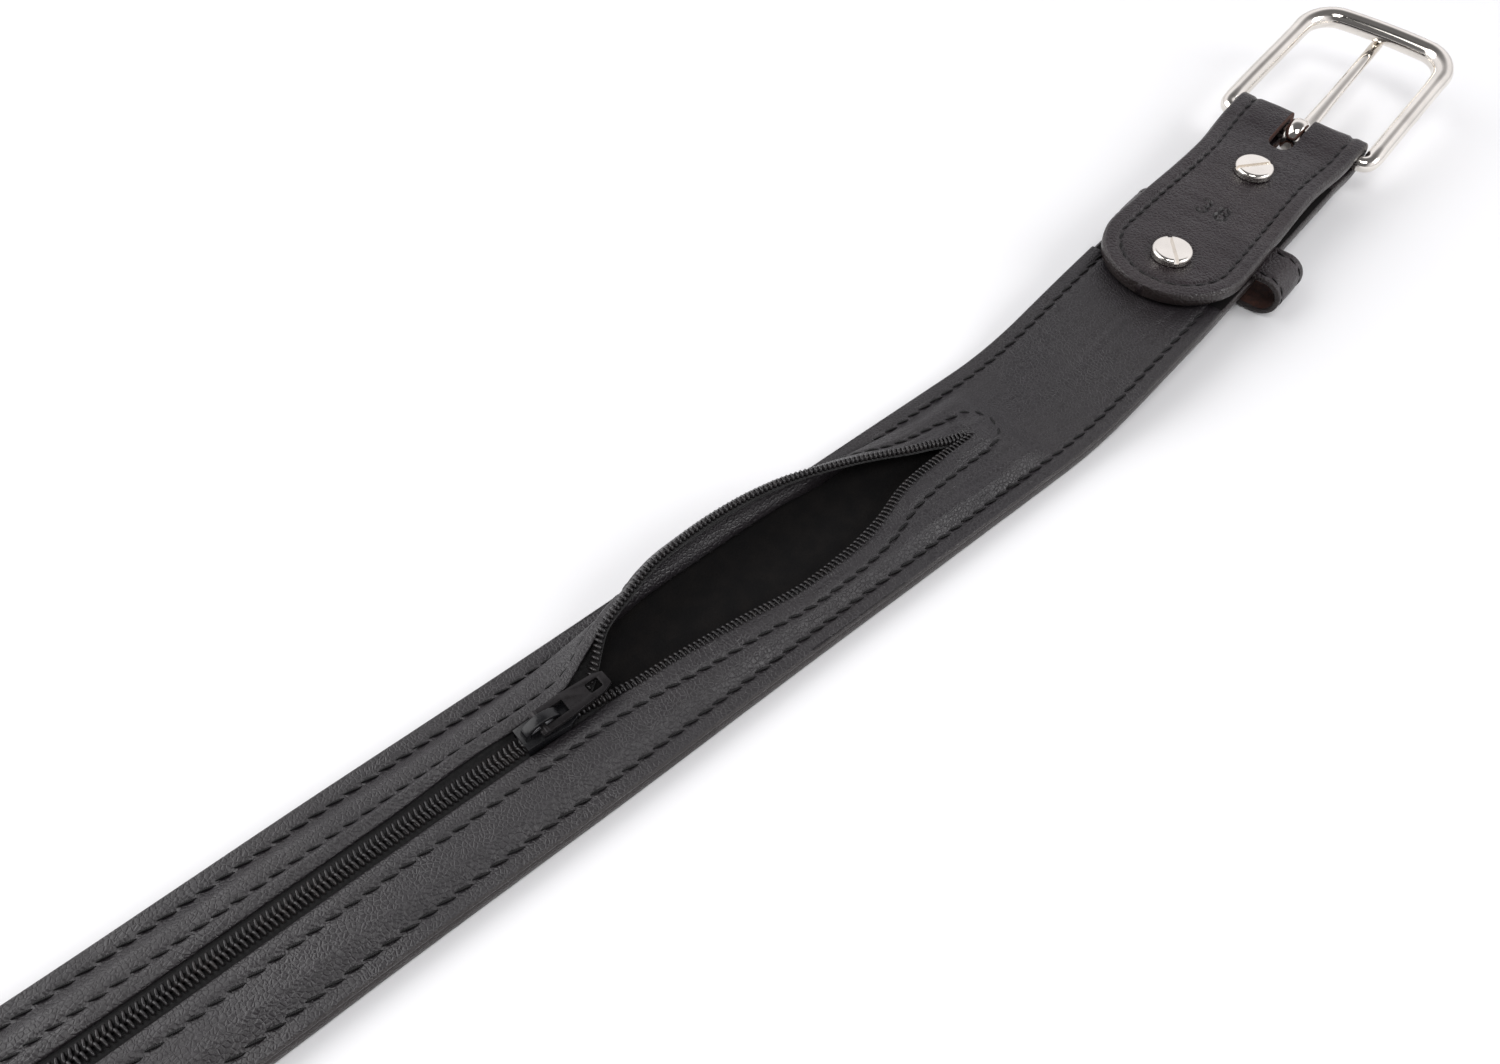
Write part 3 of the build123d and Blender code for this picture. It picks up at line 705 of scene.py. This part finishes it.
# the zipper's seam, out from the lips
gap_left = through((-0.126, 0.0027), (-0.076, 0.0034), (-0.030, 0.0036), (SEAM_TURN, 0.0044))
gap_right = through((-0.126, 0.0034), (-0.090, 0.0046), (-0.060, 0.0042), (SEAM_TURN, 0.0046))


def slot_open(x):
    """0 where the lining is whole, 1 along its slot, with short round ends."""
    return sqrt(clamp((x - SLOT_START) / SLOT_ROUND)) * sqrt(clamp((SLOT_STOP - x) / SLOT_ROUND))


def lip(side, x):
    y = (lip_y_left if side > 0 else lip_y_right)(x) * slot_open(x)
    z = (lip_z_left if side > 0 else lip_z_right)(x)
    return y, mix(crown_z(0, x), z, smooth(slot_open(x)))


def crown_z(y, x):
    """Top of the lining over the pocket where it is whole."""
    ends = smooth((x - POCKET_START) / 0.010) * smooth((0.0015 - x) / 0.008)
    pinch = 0.0008 * exp(-((x - ZIP_TOP - 0.0010) / 0.0030) ** 2 - (y / 0.0042) ** 2)
    return LINING_TOP + CROWN * ends * smooth((0.0148 - abs(y)) / 0.0036) + pinch


def bezier(a, b, c, d, t):
    return a * (1 - t) ** 3 + b * 3 * t * (1 - t) ** 2 + c * 3 * t * t * (1 - t) + d * t**3


SHEET_COLS = 30
_sheets = {}


def sheet_line(side, x):
    """The lining's top face at x from its lip (or the middle) to its seam and side edge, as
    points (y, z) for the left side. Equal steps, so a column keeps its place in the leather."""
    key = (side, round(x, 6))
    if key in _sheets:
        return _sheets[key]
    y0, z0 = lip(side, x)
    raised = clamp((z0 - 0.0062) / 0.0065) if side > 0 else 0.0
    foot = Vector((POCKET_FOOT, LINING_TOP))
    start = Vector((y0, z0))
    dense, n = [], 60
    if not POCKET_START <= x <= 0.002:
        dense = [Vector((mix(0, HALF, i / n), LINING_TOP)) for i in range(n + 1)]
    else:
        c1 = start + Vector((0.0016 + 0.0010 * raised, -0.0022))
        c2 = foot + Vector((0.0022, 0.0030))
        for i in range(n + 1):
            t = i / n
            y = mix(y0, foot.x, t)
            lying = Vector((y, crown_z(y, x) + (z0 - crown_z(y0, x)) * (1 - t) ** 2))
            dense.append(lying.lerp(bezier(start, c1, c2, foot, t), smooth(raised * 1.6)))
        dense += [foot.lerp(Vector((HALF, foot.y)), k / 12) for k in range(1, 13)]
    total, at = measured([(p,) for p in dense])
    line = [at(total * i / SHEET_COLS)[0] for i in range(SHEET_COLS + 1)]
    _sheets[key] = (line, total)
    return _sheets[key]


def sheet_at(side, x, d):
    """Point (y, z) and normal of the top face at a distance d out from the lip."""
    line, total = sheet_line(side, x)
    f = clamp(d / total) * SHEET_COLS
    i = min(int(f), SHEET_COLS - 1)
    p = line[i].lerp(line[i + 1], f - i)
    t = (line[i + 1] - line[i]).normalized()
    return p, left_of(t)


def wrinkle(x, y, side):
    """Creases of the slack leather round the mouth, deepest at its closed end."""
    near_end = exp(-((x + 0.014) / 0.020) ** 2)
    mouth = smooth((x - SLIDER_FRONT) / 0.03) * smooth((-0.004 - x) / 0.012)
    fan = wave(x * 0.30 + y * 1.2, y * 2.2, 0.2 * side, 0.0034)
    run = wave(x * 0.22, y * 1.9, 3 + side, 0.0042)
    soft = wave(x * 0.35, y, 7, 0.010)
    pocket = smooth((0.0140 - abs(y)) / 0.003)
    pocket *= smooth((-0.002 - x) / 0.01) * smooth((x - ZIP_BOTTOM) / 0.01)
    crease = wave(x * 0.15 + y * 0.6, y * 1.6, 11, 0.0042) * smooth((0.0135 - abs(y)) / 0.005)
    crease *= smooth((x - 0.002) / 0.012) * smooth((0.070 - x) / 0.020)
    crease *= smooth((0.004 - y) / 0.006)
    # the two sides agree along the middle, where there is no slot between them
    apart = 1 - smooth((x - SLOT_STOP + 0.003) / 0.003) * smooth(1 - abs(y) / 0.003)
    sides = 0.00034 * near_end * fan + 0.00040 * mouth * run * smooth((0.015 - abs(y)) / 0.003)
    return 0.00036 * crease + sides * apart + 0.00026 * soft * pocket


def seam_gap(side, x):
    """How far the zipper's seam lies out from the lip."""
    wide, far = (lip_y_left, gap_left) if side > 0 else (lip_y_right, gap_right)
    gap = mix(SEAM_Y + side * ZIP_Y - wide(x), far(x), smooth((x - SLIDER.x) / 0.02))
    return gap + wide(x) * (1 - slot_open(x))


def lining_relief(side, x, i, total, y):
    """Height change of the lining's top face: seam grooves, creases, press marks."""
    d = total * i / SHEET_COLS
    off = tail_half(x) - abs(y) if x < 0 else HALF - abs(y)
    change = -groove(off - SEAM_EDGE)
    if ZIP_BOTTOM - 0.008 < x < -0.0095:
        gap = seam_gap(side, x)
        change -= groove(d - gap, 0.00060, 0.00045)
        rolled = smooth((x + 0.20) / 0.04) * smooth((-0.095 - x) / 0.02) * (side > 0)
        change += (0.00022 + 0.00055 * rolled) * exp(-((d - gap / 2) / 0.0010) ** 2)
    return (change + wrinkle(x, side * y, side)) * smooth((off - 0.0002) / 0.0015)


def lining_stations():
    xs = tip_stations(20, 0.00006)
    xs += steps(TIP_X + HALF, POCKET_START, 0.0028)[:-1]
    xs += steps(POCKET_START, SLOT_START - 0.0001, 0.0014)
    xs += [SLOT_START + SLOT_ROUND * (k / 6) ** 2 for k in range(1, 7)]
    xs += steps(SLOT_START + 0.004, -0.130, 0.0014)
    xs += steps(-0.129, SLOT_STOP - 0.004, 0.0008)
    xs += [SLOT_STOP - SLOT_ROUND * (k / 6) ** 2 for k in range(6, 0, -1)]
    xs += [SLOT_STOP + 0.0001] + steps(SLOT_STOP + 0.0008, 0.004, 0.0008)[:-1]
    return xs + steps(0.004, ARC + HEAD_RUN - LINING_BACK, 0.0014)


def lining_ring(side, x, low_cols, rim):
    """Closed outline of half the lining at x, as (y, z) points with their edge wear: up
    round the lip, out along the top, round the side and back along the underside."""
    line, total = sheet_line(side, x)
    opened = slot_open(x) > 0.02
    hem, r = LINING_T * 0.5, 0.00045
    tops, unders = [], []
    for i, p in enumerate(line):
        n = left_of(heading(line, i))
        change = lining_relief(side, x, i, total, p.x)
        tops.append(p + n * change)
        unders.append(p + n * (change * 0.5 - LINING_T))
    if not opened:
        tops[0].x = unders[0].x = 0.0
    t0 = (line[1] - line[0]).normalized()
    n0 = left_of(t0)
    c = line[0] + n0 * (-hem)
    row = []
    for k in reversed(range(rim)):
        a = pi * (k + 1) / (rim + 1)
        bulge = (n0 * cos(a) - t0 * sin(a) * 1.15) * hem
        row.append((c + bulge if opened else Vector((0, c.y + cos(a) * hem)), 0.35))
    row += [(p, 0.25 if opened and i < 1 else 0.0) for i, p in enumerate(tops[:-1])]
    y, z = tops[-1]
    row.append((Vector((y - r, z)), 0.3))
    row += [(Vector(p), 1.0) for p in ((y - r * 0.3, z - r * 0.3), (y, z - r),
                                       (y, z - LINING_T + 0.0003),
                                       (y - 0.0003, z - LINING_T + 0.00001))]
    return row + [(unders[int(SHEET_COLS * k / (low_cols + 1))], 0.0)
                  for k in range(low_cols, -1, -1)]


def build_lining():
    """Left and right halves, each a closed strip, joined in the middle where there is no slot."""
    low_cols, rim = 8, 5
    xs = lining_stations()
    verts, faces, edge = [], [], []
    for side in (1, -1):
        grid = []
        for x in xs:
            squeeze = tail_half(x) / HALF if x < 0 else 1.0
            row = lining_ring(side, x, low_cols, rim)
            grid.append([place(x, side * p.x * squeeze, p.y) for p, _ in row])
            edge += [e for _, e in row]
        base = len(verts)
        m = len(grid[0])
        verts += flat(grid)
        for g in range(len(grid) - 1):
            whole = slot_open(xs[g]) <= 0.02 and slot_open(xs[g + 1]) <= 0.02
            for j in range(m):
                k = (j + 1) % m
                # where the lining is whole the rim columns lie in the middle, inside the leather
                if whole and (j < rim or j == m - 1):
                    continue
                a, b = base + g * m, base + (g + 1) * m
                quad = (a + j, a + k, b + k, b + j)
                faces.append(quad if side < 0 else quad[::-1])
        for g in (0, len(grid) - 1):
            quad = tuple(base + g * m + j for j in range(rim, m))
            faces.append(quad if (side > 0) == (g == 0) else quad[::-1])
    lining = make("pocket_lining_leather", verts, faces, [LINING, RAW], None, attrs={"edge": edge})
    bm = bmesh.new()
    bm.from_mesh(lining.data)
    bmesh.ops.remove_doubles(bm, verts=bm.verts, dist=2e-6)
    bmesh.ops.delete(bm, geom=[v for v in bm.verts if not v.link_faces], context="VERTS")
    bmesh.ops.recalc_face_normals(bm, faces=bm.faces)
    bm.to_mesh(lining.data)
    bm.free()
    cut(lining, prong_holes(0.001, 0.008))
    belong(lining, "belt", ["pocket_lining"])


# ---- zipper ----
def row_at(side, x):
    """Middle of one coil row in the mouth (y, z), with its outward direction and normal."""
    lip_point, n = sheet_at(side, x, 0.0)
    out = Vector((n.y, -n.x))
    stand = smooth((x - SLIDER_FRONT) / 0.016) * smooth((ZIP_TOP - x) / 0.012)
    p = lip_point - out * 0.0010 - n * 0.00035
    closed = Vector((CHAIN_HALF * 0.5 + side * ZIP_Y, CHAIN_Z))
    m = closed.lerp(p, stand)
    up = Vector((0, 1)).lerp(n, stand * 0.85).normalized()
    return m, Vector((up.y, -up.x)), up


def tooth(verts, faces, at, along, out, up, lean):
    """One turn of the coil: an oblong loop of nylon with a fat head at the inner end."""
    turns, ring = 10, 5
    rings = []
    for a in turn(turns):
        c, s = cos(a), sin(a)
        reach = 0.00098 * c + (0.00010 if c < -0.6 else 0.0)
        level = 0.00062 * copysign(abs(s) ** 0.7, s)
        centre = at + out * reach + up * level + along * (lean * (c * 0.5 + 0.3 * s))
        radial = (out * c * 0.45 + up * s).normalized()
        r = 0.00029 * (1.35 if c < -0.75 else 1.0)
        rings.append([centre + radial * (cos(b) * r) + along * (sin(b) * r * 1.15)
                      for b in turn(ring)])
    add_tube(verts, faces, rings, loop=True)


def build_chain():
    """The closed coil behind the slider: two rows that mesh in the middle."""
    for side, name in SIDES:
        verts, faces = [], []
        start = ZIP_BOTTOM + (0 if side > 0 else COIL_PITCH / 2)
        for x in steps(start, SLIDER.x, COIL_PITCH):
            at = place(x, ZIP_Y + side * 0.00092, CHAIN_Z)
            tooth(verts, faces, at, Vector((1, 0, 0)), Vector((0, side, 0)), UP, 0.00036)
        make(f"coil_closed_{name}", verts, faces, [COIL], "zipper_coil",
             replaces=[f"zipper_teeth_{name}"])


def build_open_rows():
    """The parted coil round the mouth, which flattens towards the chain's line."""
    for side, name in SIDES:
        verts, faces = [], []
        points = []
        for x in steps(SLIDER.x + 0.001, ZIP_TOP, 0.0004):
            m, out, _ = row_at(side, x)
            points.append((place(x, side * m.x, m.y), Vector((0, side * out.x, out.y))))
        total, at = measured(points)
        due = 0.0 if side > 0 else COIL_PITCH / 2
        while due <= total:
            p, out, along = at(due)
            out = (out - along * out.dot(along)).normalized()
            tooth(verts, faces, p, along, out, out.cross(along) * (-side), 0.00034)
            due += COIL_PITCH
        row = make(f"coil_open_{name}", verts, faces, [COIL], "zipper_coil")
        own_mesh(row)


def tape_strip(name, side, xs, node=()):
    """Woven tape: under the coil, then up along the underside of the lining."""
    rings = []
    thick, cols = 0.00042, 9
    for x in xs:
        m, out, up = row_at(side, x)
        inner = m - up * 0.00090 - out * 0.0013
        line = []
        for k in range(cols):
            t = k / (cols - 1)
            under, n = sheet_at(side, x, mix(0.0002, 0.0040, t))
            under = under - n * (LINING_T + 0.0004)
            reach = inner.lerp(m - up * 0.00090 + out * 0.0014, min(1, t * 2.2))
            p = reach.lerp(under, smooth((t - 0.28) / 0.40))
            line.append(Vector((p.x, max(p.y, STRAP_T + 0.0005))))
        top = [place(x, side * p.x, p.y + thick / 2) for p in line]
        low = [place(x, side * p.x, p.y - thick / 2) for p in reversed(line)]
        rings.append(top + low)
    faces = loft(rings)
    if side > 0:
        faces = [f[::-1] for f in faces]
    return make(name, flat(rings), faces, [TAPE], "zipper_tape", replaces=node)


def build_tapes():
    for side, name in SIDES:
        part = SLIDER_FRONT - 0.002
        tape_strip(f"tape_closed_{name}", side, steps(ZIP_BOTTOM - 0.001, part, 0.0020),
                   [f"zipper_tape_{name}"])
        tape = tape_strip(f"tape_open_{name}", side, steps(part, ZIP_TOP, 0.0010))
        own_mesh(tape)


# ---- seams ----
def lining_top(side, x, d):
    """A point a little into the lining's top face, with the face's normal."""
    p, n = sheet_at(side, x, d)
    normal = Vector((0, side * n.x, n.y))
    lift = wrinkle(x, side * abs(p.x), side) - 0.00018
    return place(x, side * p.x, p.y) + normal * lift, normal


def build_seams():
    edge_v = HALF - SEAM_EDGE

    def loop_at(h, normal, end):
        xs = steps(end, TIP_X + HALF, 0.002)
        run = [(place(x, edge_v, h), normal) for x in xs]
        run += [(place(x, y, h), normal)
                for x, y in arc(TIP_X + HALF, 0, edge_v, pi / 2, 3 * pi / 2, pi / 24)[1:-1]]
        return run + [(place(x, -edge_v, h), normal) for x in reversed(xs)]

    back_end, front_end = ARC + HEAD_RUN - LINING_BACK - 0.0005, ARC + HEAD_RUN - 0.016
    stitches("perimeter_seam", [loop_at(LINING_TOP - 0.00012, UP, back_end),
                                loop_at(0.00012 + THREAD_R, -UP, front_end)],
             ["perimeter_thread"])

    # up the left side, round the closed end, down the right side and round the lower end
    start = ZIP_BOTTOM - 0.006
    race = [lining_top(1, x, seam_gap(1, x)) for x in steps(start, SEAM_TURN, 0.0012)]
    left_y, right_y = race[-1][0].y, lining_top(-1, SEAM_TURN, seam_gap(-1, SEAM_TURN))[0].y
    for bend, across in arc(0, 0, 1, pi / 2, -pi / 2, pi / 16)[1:-1]:
        x = SEAM_TURN + 0.0068 * bend
        y = mix(right_y, left_y, 0.5 + 0.5 * across)
        side = 1 if y >= 0 else -1
        point, normal = lining_top(side, x, max(0.0, abs(y) - lip(side, x)[0]))
        race.append((point + UP * 0.00012, normal))
    race += [lining_top(-1, x, seam_gap(-1, x)) for x in steps(SEAM_TURN, start, 0.0012)]
    for k in range(1, 8):
        y = ZIP_Y + SEAM_Y * (k / 4 - 1)
        side = 1 if y >= 0 else -1
        race.append(lining_top(side, start, abs(y)))
    stitches("zipper_seam", [race], ["zipper_seam_thread"])

    def flap_point(back, v):
        z = FLAP_TOP
        if back < SPREAD:
            z = mix(BAR.z + FOLD_R, FLAP_Z + STRAP_T / 2, ease(clamp(back / SPREAD))) + STRAP_T / 2
        if back < 0:
            z -= 0.0003
        return head(-back, v, z - flap_relief(back, v) + 0.00008), UP

    backs = steps(-0.002, FLAP_ROUND, 0.0012)
    lane = HALF - SEAM_FLAP
    run = [flap_point(back, flap_half(back) - SEAM_FLAP) for back in backs]
    run += [flap_point(*p) for p in arc(FLAP_ROUND, 0, lane, pi / 2, -pi / 2, pi / 26)[1:-1]]
    run += [flap_point(back, -flap_half(back) + SEAM_FLAP) for back in reversed(backs)]
    stitches("flap_seam", [run], ["flap_thread"])


# ---- liner, keeper ----
def build_liner():
    rings, edge = [], []
    inset = 0.0013
    end = FLAP_LEN - 0.0012
    backs = steps(SPREAD + 0.002, FLAP_ROUND, 0.0018)[:-1]
    backs += [FLAP_ROUND + (end - FLAP_ROUND) * sin(pi / 2 * k / 18) for k in range(19)]
    for back in backs:
        full = flap_half(back) - inset
        if back > FLAP_ROUND:
            full = sqrt(max(4e-9, (end - FLAP_ROUND) ** 2 - (back - FLAP_ROUND) ** 2))
        ring = []
        for v, h, e in section(full, -0.0009, -0.00003, WIDE, WIDE, 0.0003, 3):
            rag = 0.0003 * wave(back, v, h * 4, 0.0012) * e
            ring.append(head(-back, v + rag * (1 if v > 0 else -1), FLAP_Z + h))
            edge.append(0.4 * e)
        rings.append(ring)
    faces = [f[::-1] for f in loft(rings)]
    make("flap_liner_leather", flat(rings), faces, [LINING], "lining_leather",
         replaces=["flap_liner"], attrs={"edge": edge})


def keeper_loop_points():
    """Middle line of the keeper in its cross plane (v, z), anticlockwise from the bottom."""
    low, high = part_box("keeper_loop")
    thick = 0.0015
    z0, z1 = low.z + thick / 2, high.z - thick / 2
    left, right = 0.0213, -0.0266
    r_left, r_right = 0.0030, (z1 - z0) / 2
    line = [(v, z0) for v in steps(right + r_right, left - r_left, 0.003)]
    line += arc(left - r_left, z0 + r_left, r_left, -pi / 2, 0, 0.25)[1:]
    line += arc(left - r_left, z1 - r_left, r_left, 0, pi / 2, 0.25)
    line += [(v, z1) for v in steps(left - r_left, right + r_right, 0.003)[1:]]
    line += arc(right + r_right, (z0 + z1) / 2, r_right, pi / 2, 3 * pi / 2, 0.17)[1:-1]
    return [Vector(p) for p in line], thick


def build_keeper():
    line, thick = keeper_loop_points()
    width, lane = 0.0140, 0.0050
    rings, edge = [], []
    cols = [1 - 2 * i / 24 for i in range(25)]
    seams = []
    for i, (v, z) in enumerate(line):
        normal = -left_of(heading(line, i, loop=True))
        ring = []
        for u, h, e in section(width / 2, -thick / 2, thick / 2, cols, cols, 0.0005, 3):
            if h > 0 and e == 0:
                h -= groove(abs(u) - lane, 0.0005, 0.00030)
                h += 0.00012 * wave(u, v, z, 0.004)
            ring.append(head(KEEPER_U + u, v + normal.x * h, z + normal.y * h))
            edge.append(e)
        rings.append(ring)
        seams.append((Vector((v, z)), normal))
    keeper = make("keeper_leather", flat(rings), loft(rings, loop=True), [STRAP, RAW],
                  "strap_leather", "keeper", ["keeper_loop"], {"edge": edge})
    # the loop's inner side is raw; its columns start after the outer face and the first rim
    m, low = len(rings[0]), len(cols) + 5
    inner = [1 if low <= k % m < low + len(cols) - 1 else 0
             for k in range(len(keeper.data.polygons))]
    keeper.data.polygons.foreach_set("material_index", inner)
    skin = thick / 2 - 0.0002
    runs = [[(head(KEEPER_U + shift, p.x + nrm.x * skin, p.y + nrm.y * skin),
              LEFT * nrm.x + UP * nrm.y) for p, nrm in seams] for shift in (-lane, lane)]
    thread = stitches("keeper_seam", runs, ["keeper_thread"], pitch=0.0034, radius=0.00024)
    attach(thread, "keeper")


# ---- buckle and prong ----
FRAME_OUT = 0.0525
ROD_R = 0.00245
FAR_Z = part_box("buckle_frame")[1].z - ROD_R
SLOPE = atan((FAR_Z - BAR.z) / (FRAME_OUT - ROD_R))
FAR_U = (FRAME_OUT - ROD_R) / cos(SLOPE)
F_X = ALONG * cos(SLOPE) + UP * sin(SLOPE)
F_Z = UP * cos(SLOPE) - ALONG * sin(SLOPE)


def on_frame(a, b, c=0.0):
    return BAR + F_X * a + LEFT * b + F_Z * c


def build_buckle():
    half, heel, corner = 0.0218, 0.0025, 0.0085
    # the left side: heel, arm and far corner; the right side mirrors it
    side = arc(heel, half - heel, heel, pi, pi / 2, 0.2)[1:]
    side += [(a, half) for a in steps(heel, FAR_U - corner, 0.0022)[1:]]
    side += arc(FAR_U - corner, half - corner, corner, pi / 2, 0, 0.12)[1:]
    plan = [(0.0, b) for b in steps(-half + heel, half - heel, 0.0025)] + side
    plan += [(FAR_U, b) for b in steps(half - corner, -half + corner, 0.0020)[1:]]
    plan += [(a, -b) for a, b in reversed(side[:-1])]
    points, radii = [], []
    for a, b in plan:
        far = smooth((a / FAR_U - 0.72) / 0.28)
        bow = 0.0014 * far * (1 - (b / half) ** 2)
        lean = smooth(a / FAR_U)
        points.append(on_frame(a + bow, b * (1 - 0.025 * lean) - 0.0010 * lean))
        radii.append((mix(0.00262, 0.00310, far) if a > 0.004 else mix(0.00216, 0.00262, a / 0.004),
                      mix(1.0, 0.94, far)))
    tube("buckle_rod", points, [F_Z] * len(points),
         lambda i: oval(radii[i][0], radii[i][0] * radii[i][1], 28), "nickel", [NICKEL], "buckle",
         ["buckle_frame"], loop=True)


def build_prong():
    curl, drop = 0.00358, 0.0039        # radius of the curl, depth under the frame's plane
    neck, reach = 0.012, FAR_U + 0.0004
    line = arc(0, 0, curl, radians(20), radians(270), 0.12)
    line += [(neck * t, -curl - (drop - curl) * smooth(t)) for t in steps(0, 1, 0.12)[1:]]
    line += [(a, -drop) for a in steps(neck, reach, 0.002)[1:]]
    line += [(reach + 0.0016 * sin(t), -drop) for t in steps(0, pi / 2, 0.25)[1:]]
    points = [on_frame(a, 0, c) for a, c in line]
    last = len(line) - 1
    tip = [1.0] * len(line)
    for k in range(7):
        tip[last - k] = sqrt(1 - (1 - (k + 0.25) / 7.25) ** 2)
    tip[0], tip[1] = 0.72, 0.93

    def shape(i):
        a = line[i][0]
        w = mix(0.00240, 0.00180, smooth(a / 0.030)) * tip[i]
        return oval(w, mix(0.00132, 0.00112, smooth(a / 0.010)) * mix(1, tip[i], 0.7), 24, 2.2)

    ups = [LEFT.cross(heading(points, i)) * -1 for i in range(len(points))]
    tube("prong_rod", points, ups, shape, "nickel", [NICKEL], "prong", ["buckle_prong"])


# ---- CAD hardware with softened edges ----
def soften(node, name, width, mat, body):
    """A copy of a CAD node with its edges rounded, shown in its place."""
    bm = bmesh.new()
    bm.from_mesh(frame["nodes"][node].data)
    bmesh.ops.remove_doubles(bm, verts=bm.verts, dist=1e-6)
    bmesh.ops.dissolve_limit(bm, angle_limit=radians(1), verts=bm.verts, edges=bm.edges)
    mesh = bpy.data.meshes.new(name)
    bm.to_mesh(mesh)
    bm.free()
    mesh.materials.append(mat)
    obj = add_object(name, mesh)
    bevel = obj.modifiers.new("round", "BEVEL")
    bevel.width, bevel.segments, bevel.limit_method = width, 3, "ANGLE"
    bevel.angle_limit = radians(28)
    apply_modifiers(obj)
    obj.data.polygons.foreach_set("use_smooth", [True] * len(obj.data.polygons))
    obj.data.set_sharp_from_angle(angle=radians(40))
    belong(obj, body, [node])


def finish_node(node, mat):
    mesh = frame["nodes"][node].data
    if not mesh.materials:
        mesh.materials.append(mat)
    for slot in frame["nodes"][node].material_slots:
        slot.material = mat


# ---- camera, floor and light ----
def build_stage():
    cam = bpy.data.cameras.new("camera")
    cam.lens, cam.sensor_width = 30.0, 36.0
    cam.clip_start = 0.01
    cam_obj = add_object("camera", cam)
    cam_obj.location = (-0.1776, -0.1135, 0.2272)
    cam_obj.rotation_euler = (radians(36.87), radians(-0.29), radians(-40.24))
    scene = bpy.context.scene
    scene.camera = cam_obj

    floor_mat = Finish("paper_floor", (0.86, 0.86, 0.87), 0.9)
    floor_mat.tint(floor_mat.noise(0.2, 3), (0.84, 0.84, 0.85), 0.4, 0.7)
    n, r, level = 4, 2.5, -0.0004
    rows = [[Vector((mix(-r, r, i / n), mix(-r, r, j / n), level)) for j in range(n + 1)]
            for i in range(n + 1)]
    corners = [i * (n + 1) + j for i in range(n) for j in range(n)]
    faces = [(a, a + n + 1, a + n + 2, a + 1) for a in corners]
    make("floor", flat(rows), faces, [floor_mat.mat], None)

    scene.view_settings.view_transform = "Standard"
    world = bpy.data.worlds.new("studio")
    scene.world = world
    world.use_nodes = True
    # a pale room: bright walls, a darker ceiling
    tree = world.node_tree
    direction = node_of(tree, "ShaderNodeTexCoord").outputs["Generated"]
    split = node_of(tree, "ShaderNodeSeparateXYZ")
    tree.links.new(direction, split.inputs[0])
    ramp = node_of(tree, "ShaderNodeValToRGB")
    stops = ((0.0, 0.70), (0.40, 1.05), (0.66, 1.05), (0.80, 0.30), (0.90, 0.16), (1.0, 0.16))
    while len(ramp.color_ramp.elements) < len(stops):
        ramp.color_ramp.elements.new(0.5)
    for element, (at, level) in zip(ramp.color_ramp.elements, stops):
        element.position = at
        element.color = (level * 0.99, level * 0.975, level, 1)
    tree.links.new(split.outputs["Z"], ramp.inputs[0])
    tree.links.new(ramp.outputs["Color"], tree.nodes["Background"].inputs["Color"])
    # and a dim patch where the photographer stands
    behind = node_of(tree, "ShaderNodeVectorMath", Operation="DOT_PRODUCT")
    behind.inputs[1].default_value = (-0.79, -0.29, 0.53)
    tree.links.new(direction, behind.inputs[0])
    dim = ranged(tree, behind.outputs["Value"], 0.60, 0.88, 1.0, 0.14)
    tree.links.new(dim, tree.nodes["Background"].inputs["Strength"])
    for name, where, size, power in (("key", (-0.80, 0.95, 1.00), 1.5, 17.0),
                                     ("fill", (0.60, -0.95, 0.85), 0.7, 6.0),
                                     ("top", (-0.45, -0.35, 1.25), 0.6, 6.0)):
        lamp = bpy.data.lights.new(name, "AREA")
        lamp.size, lamp.energy = size, power
        obj = add_object(name, lamp)
        obj.location = where
        obj.rotation_euler = (-Vector(where)).to_track_quat("-Z", "Y").to_euler()


build_stage()
build_strap()
build_lining()
build_liner()
build_tapes()
build_chain()
build_open_rows()
build_seams()
build_keeper()
build_buckle()
build_prong()
soften("slider_body", "slider_shell", 0.00022, SLIDER_PAINT, "slider")
soften("slider_bridge", "slider_arch", 0.00018, SLIDER_PAINT, "slider")
soften("pull_tab", "pull_plate", 0.00018, PULL_METAL, "pull")
for node in ("screw_near_buckle", "screw_near_keeper", "post_near_buckle", "post_near_keeper"):
    finish_node(node, NICKEL)
for node in ("slider_lock_spring", "keeper_staple"):
    finish_node(node, SPRING)
for node in ("top_stops", "bottom_stop"):
    finish_node(node, SLIDER_PAINT)

bpy.context.view_layer.update()
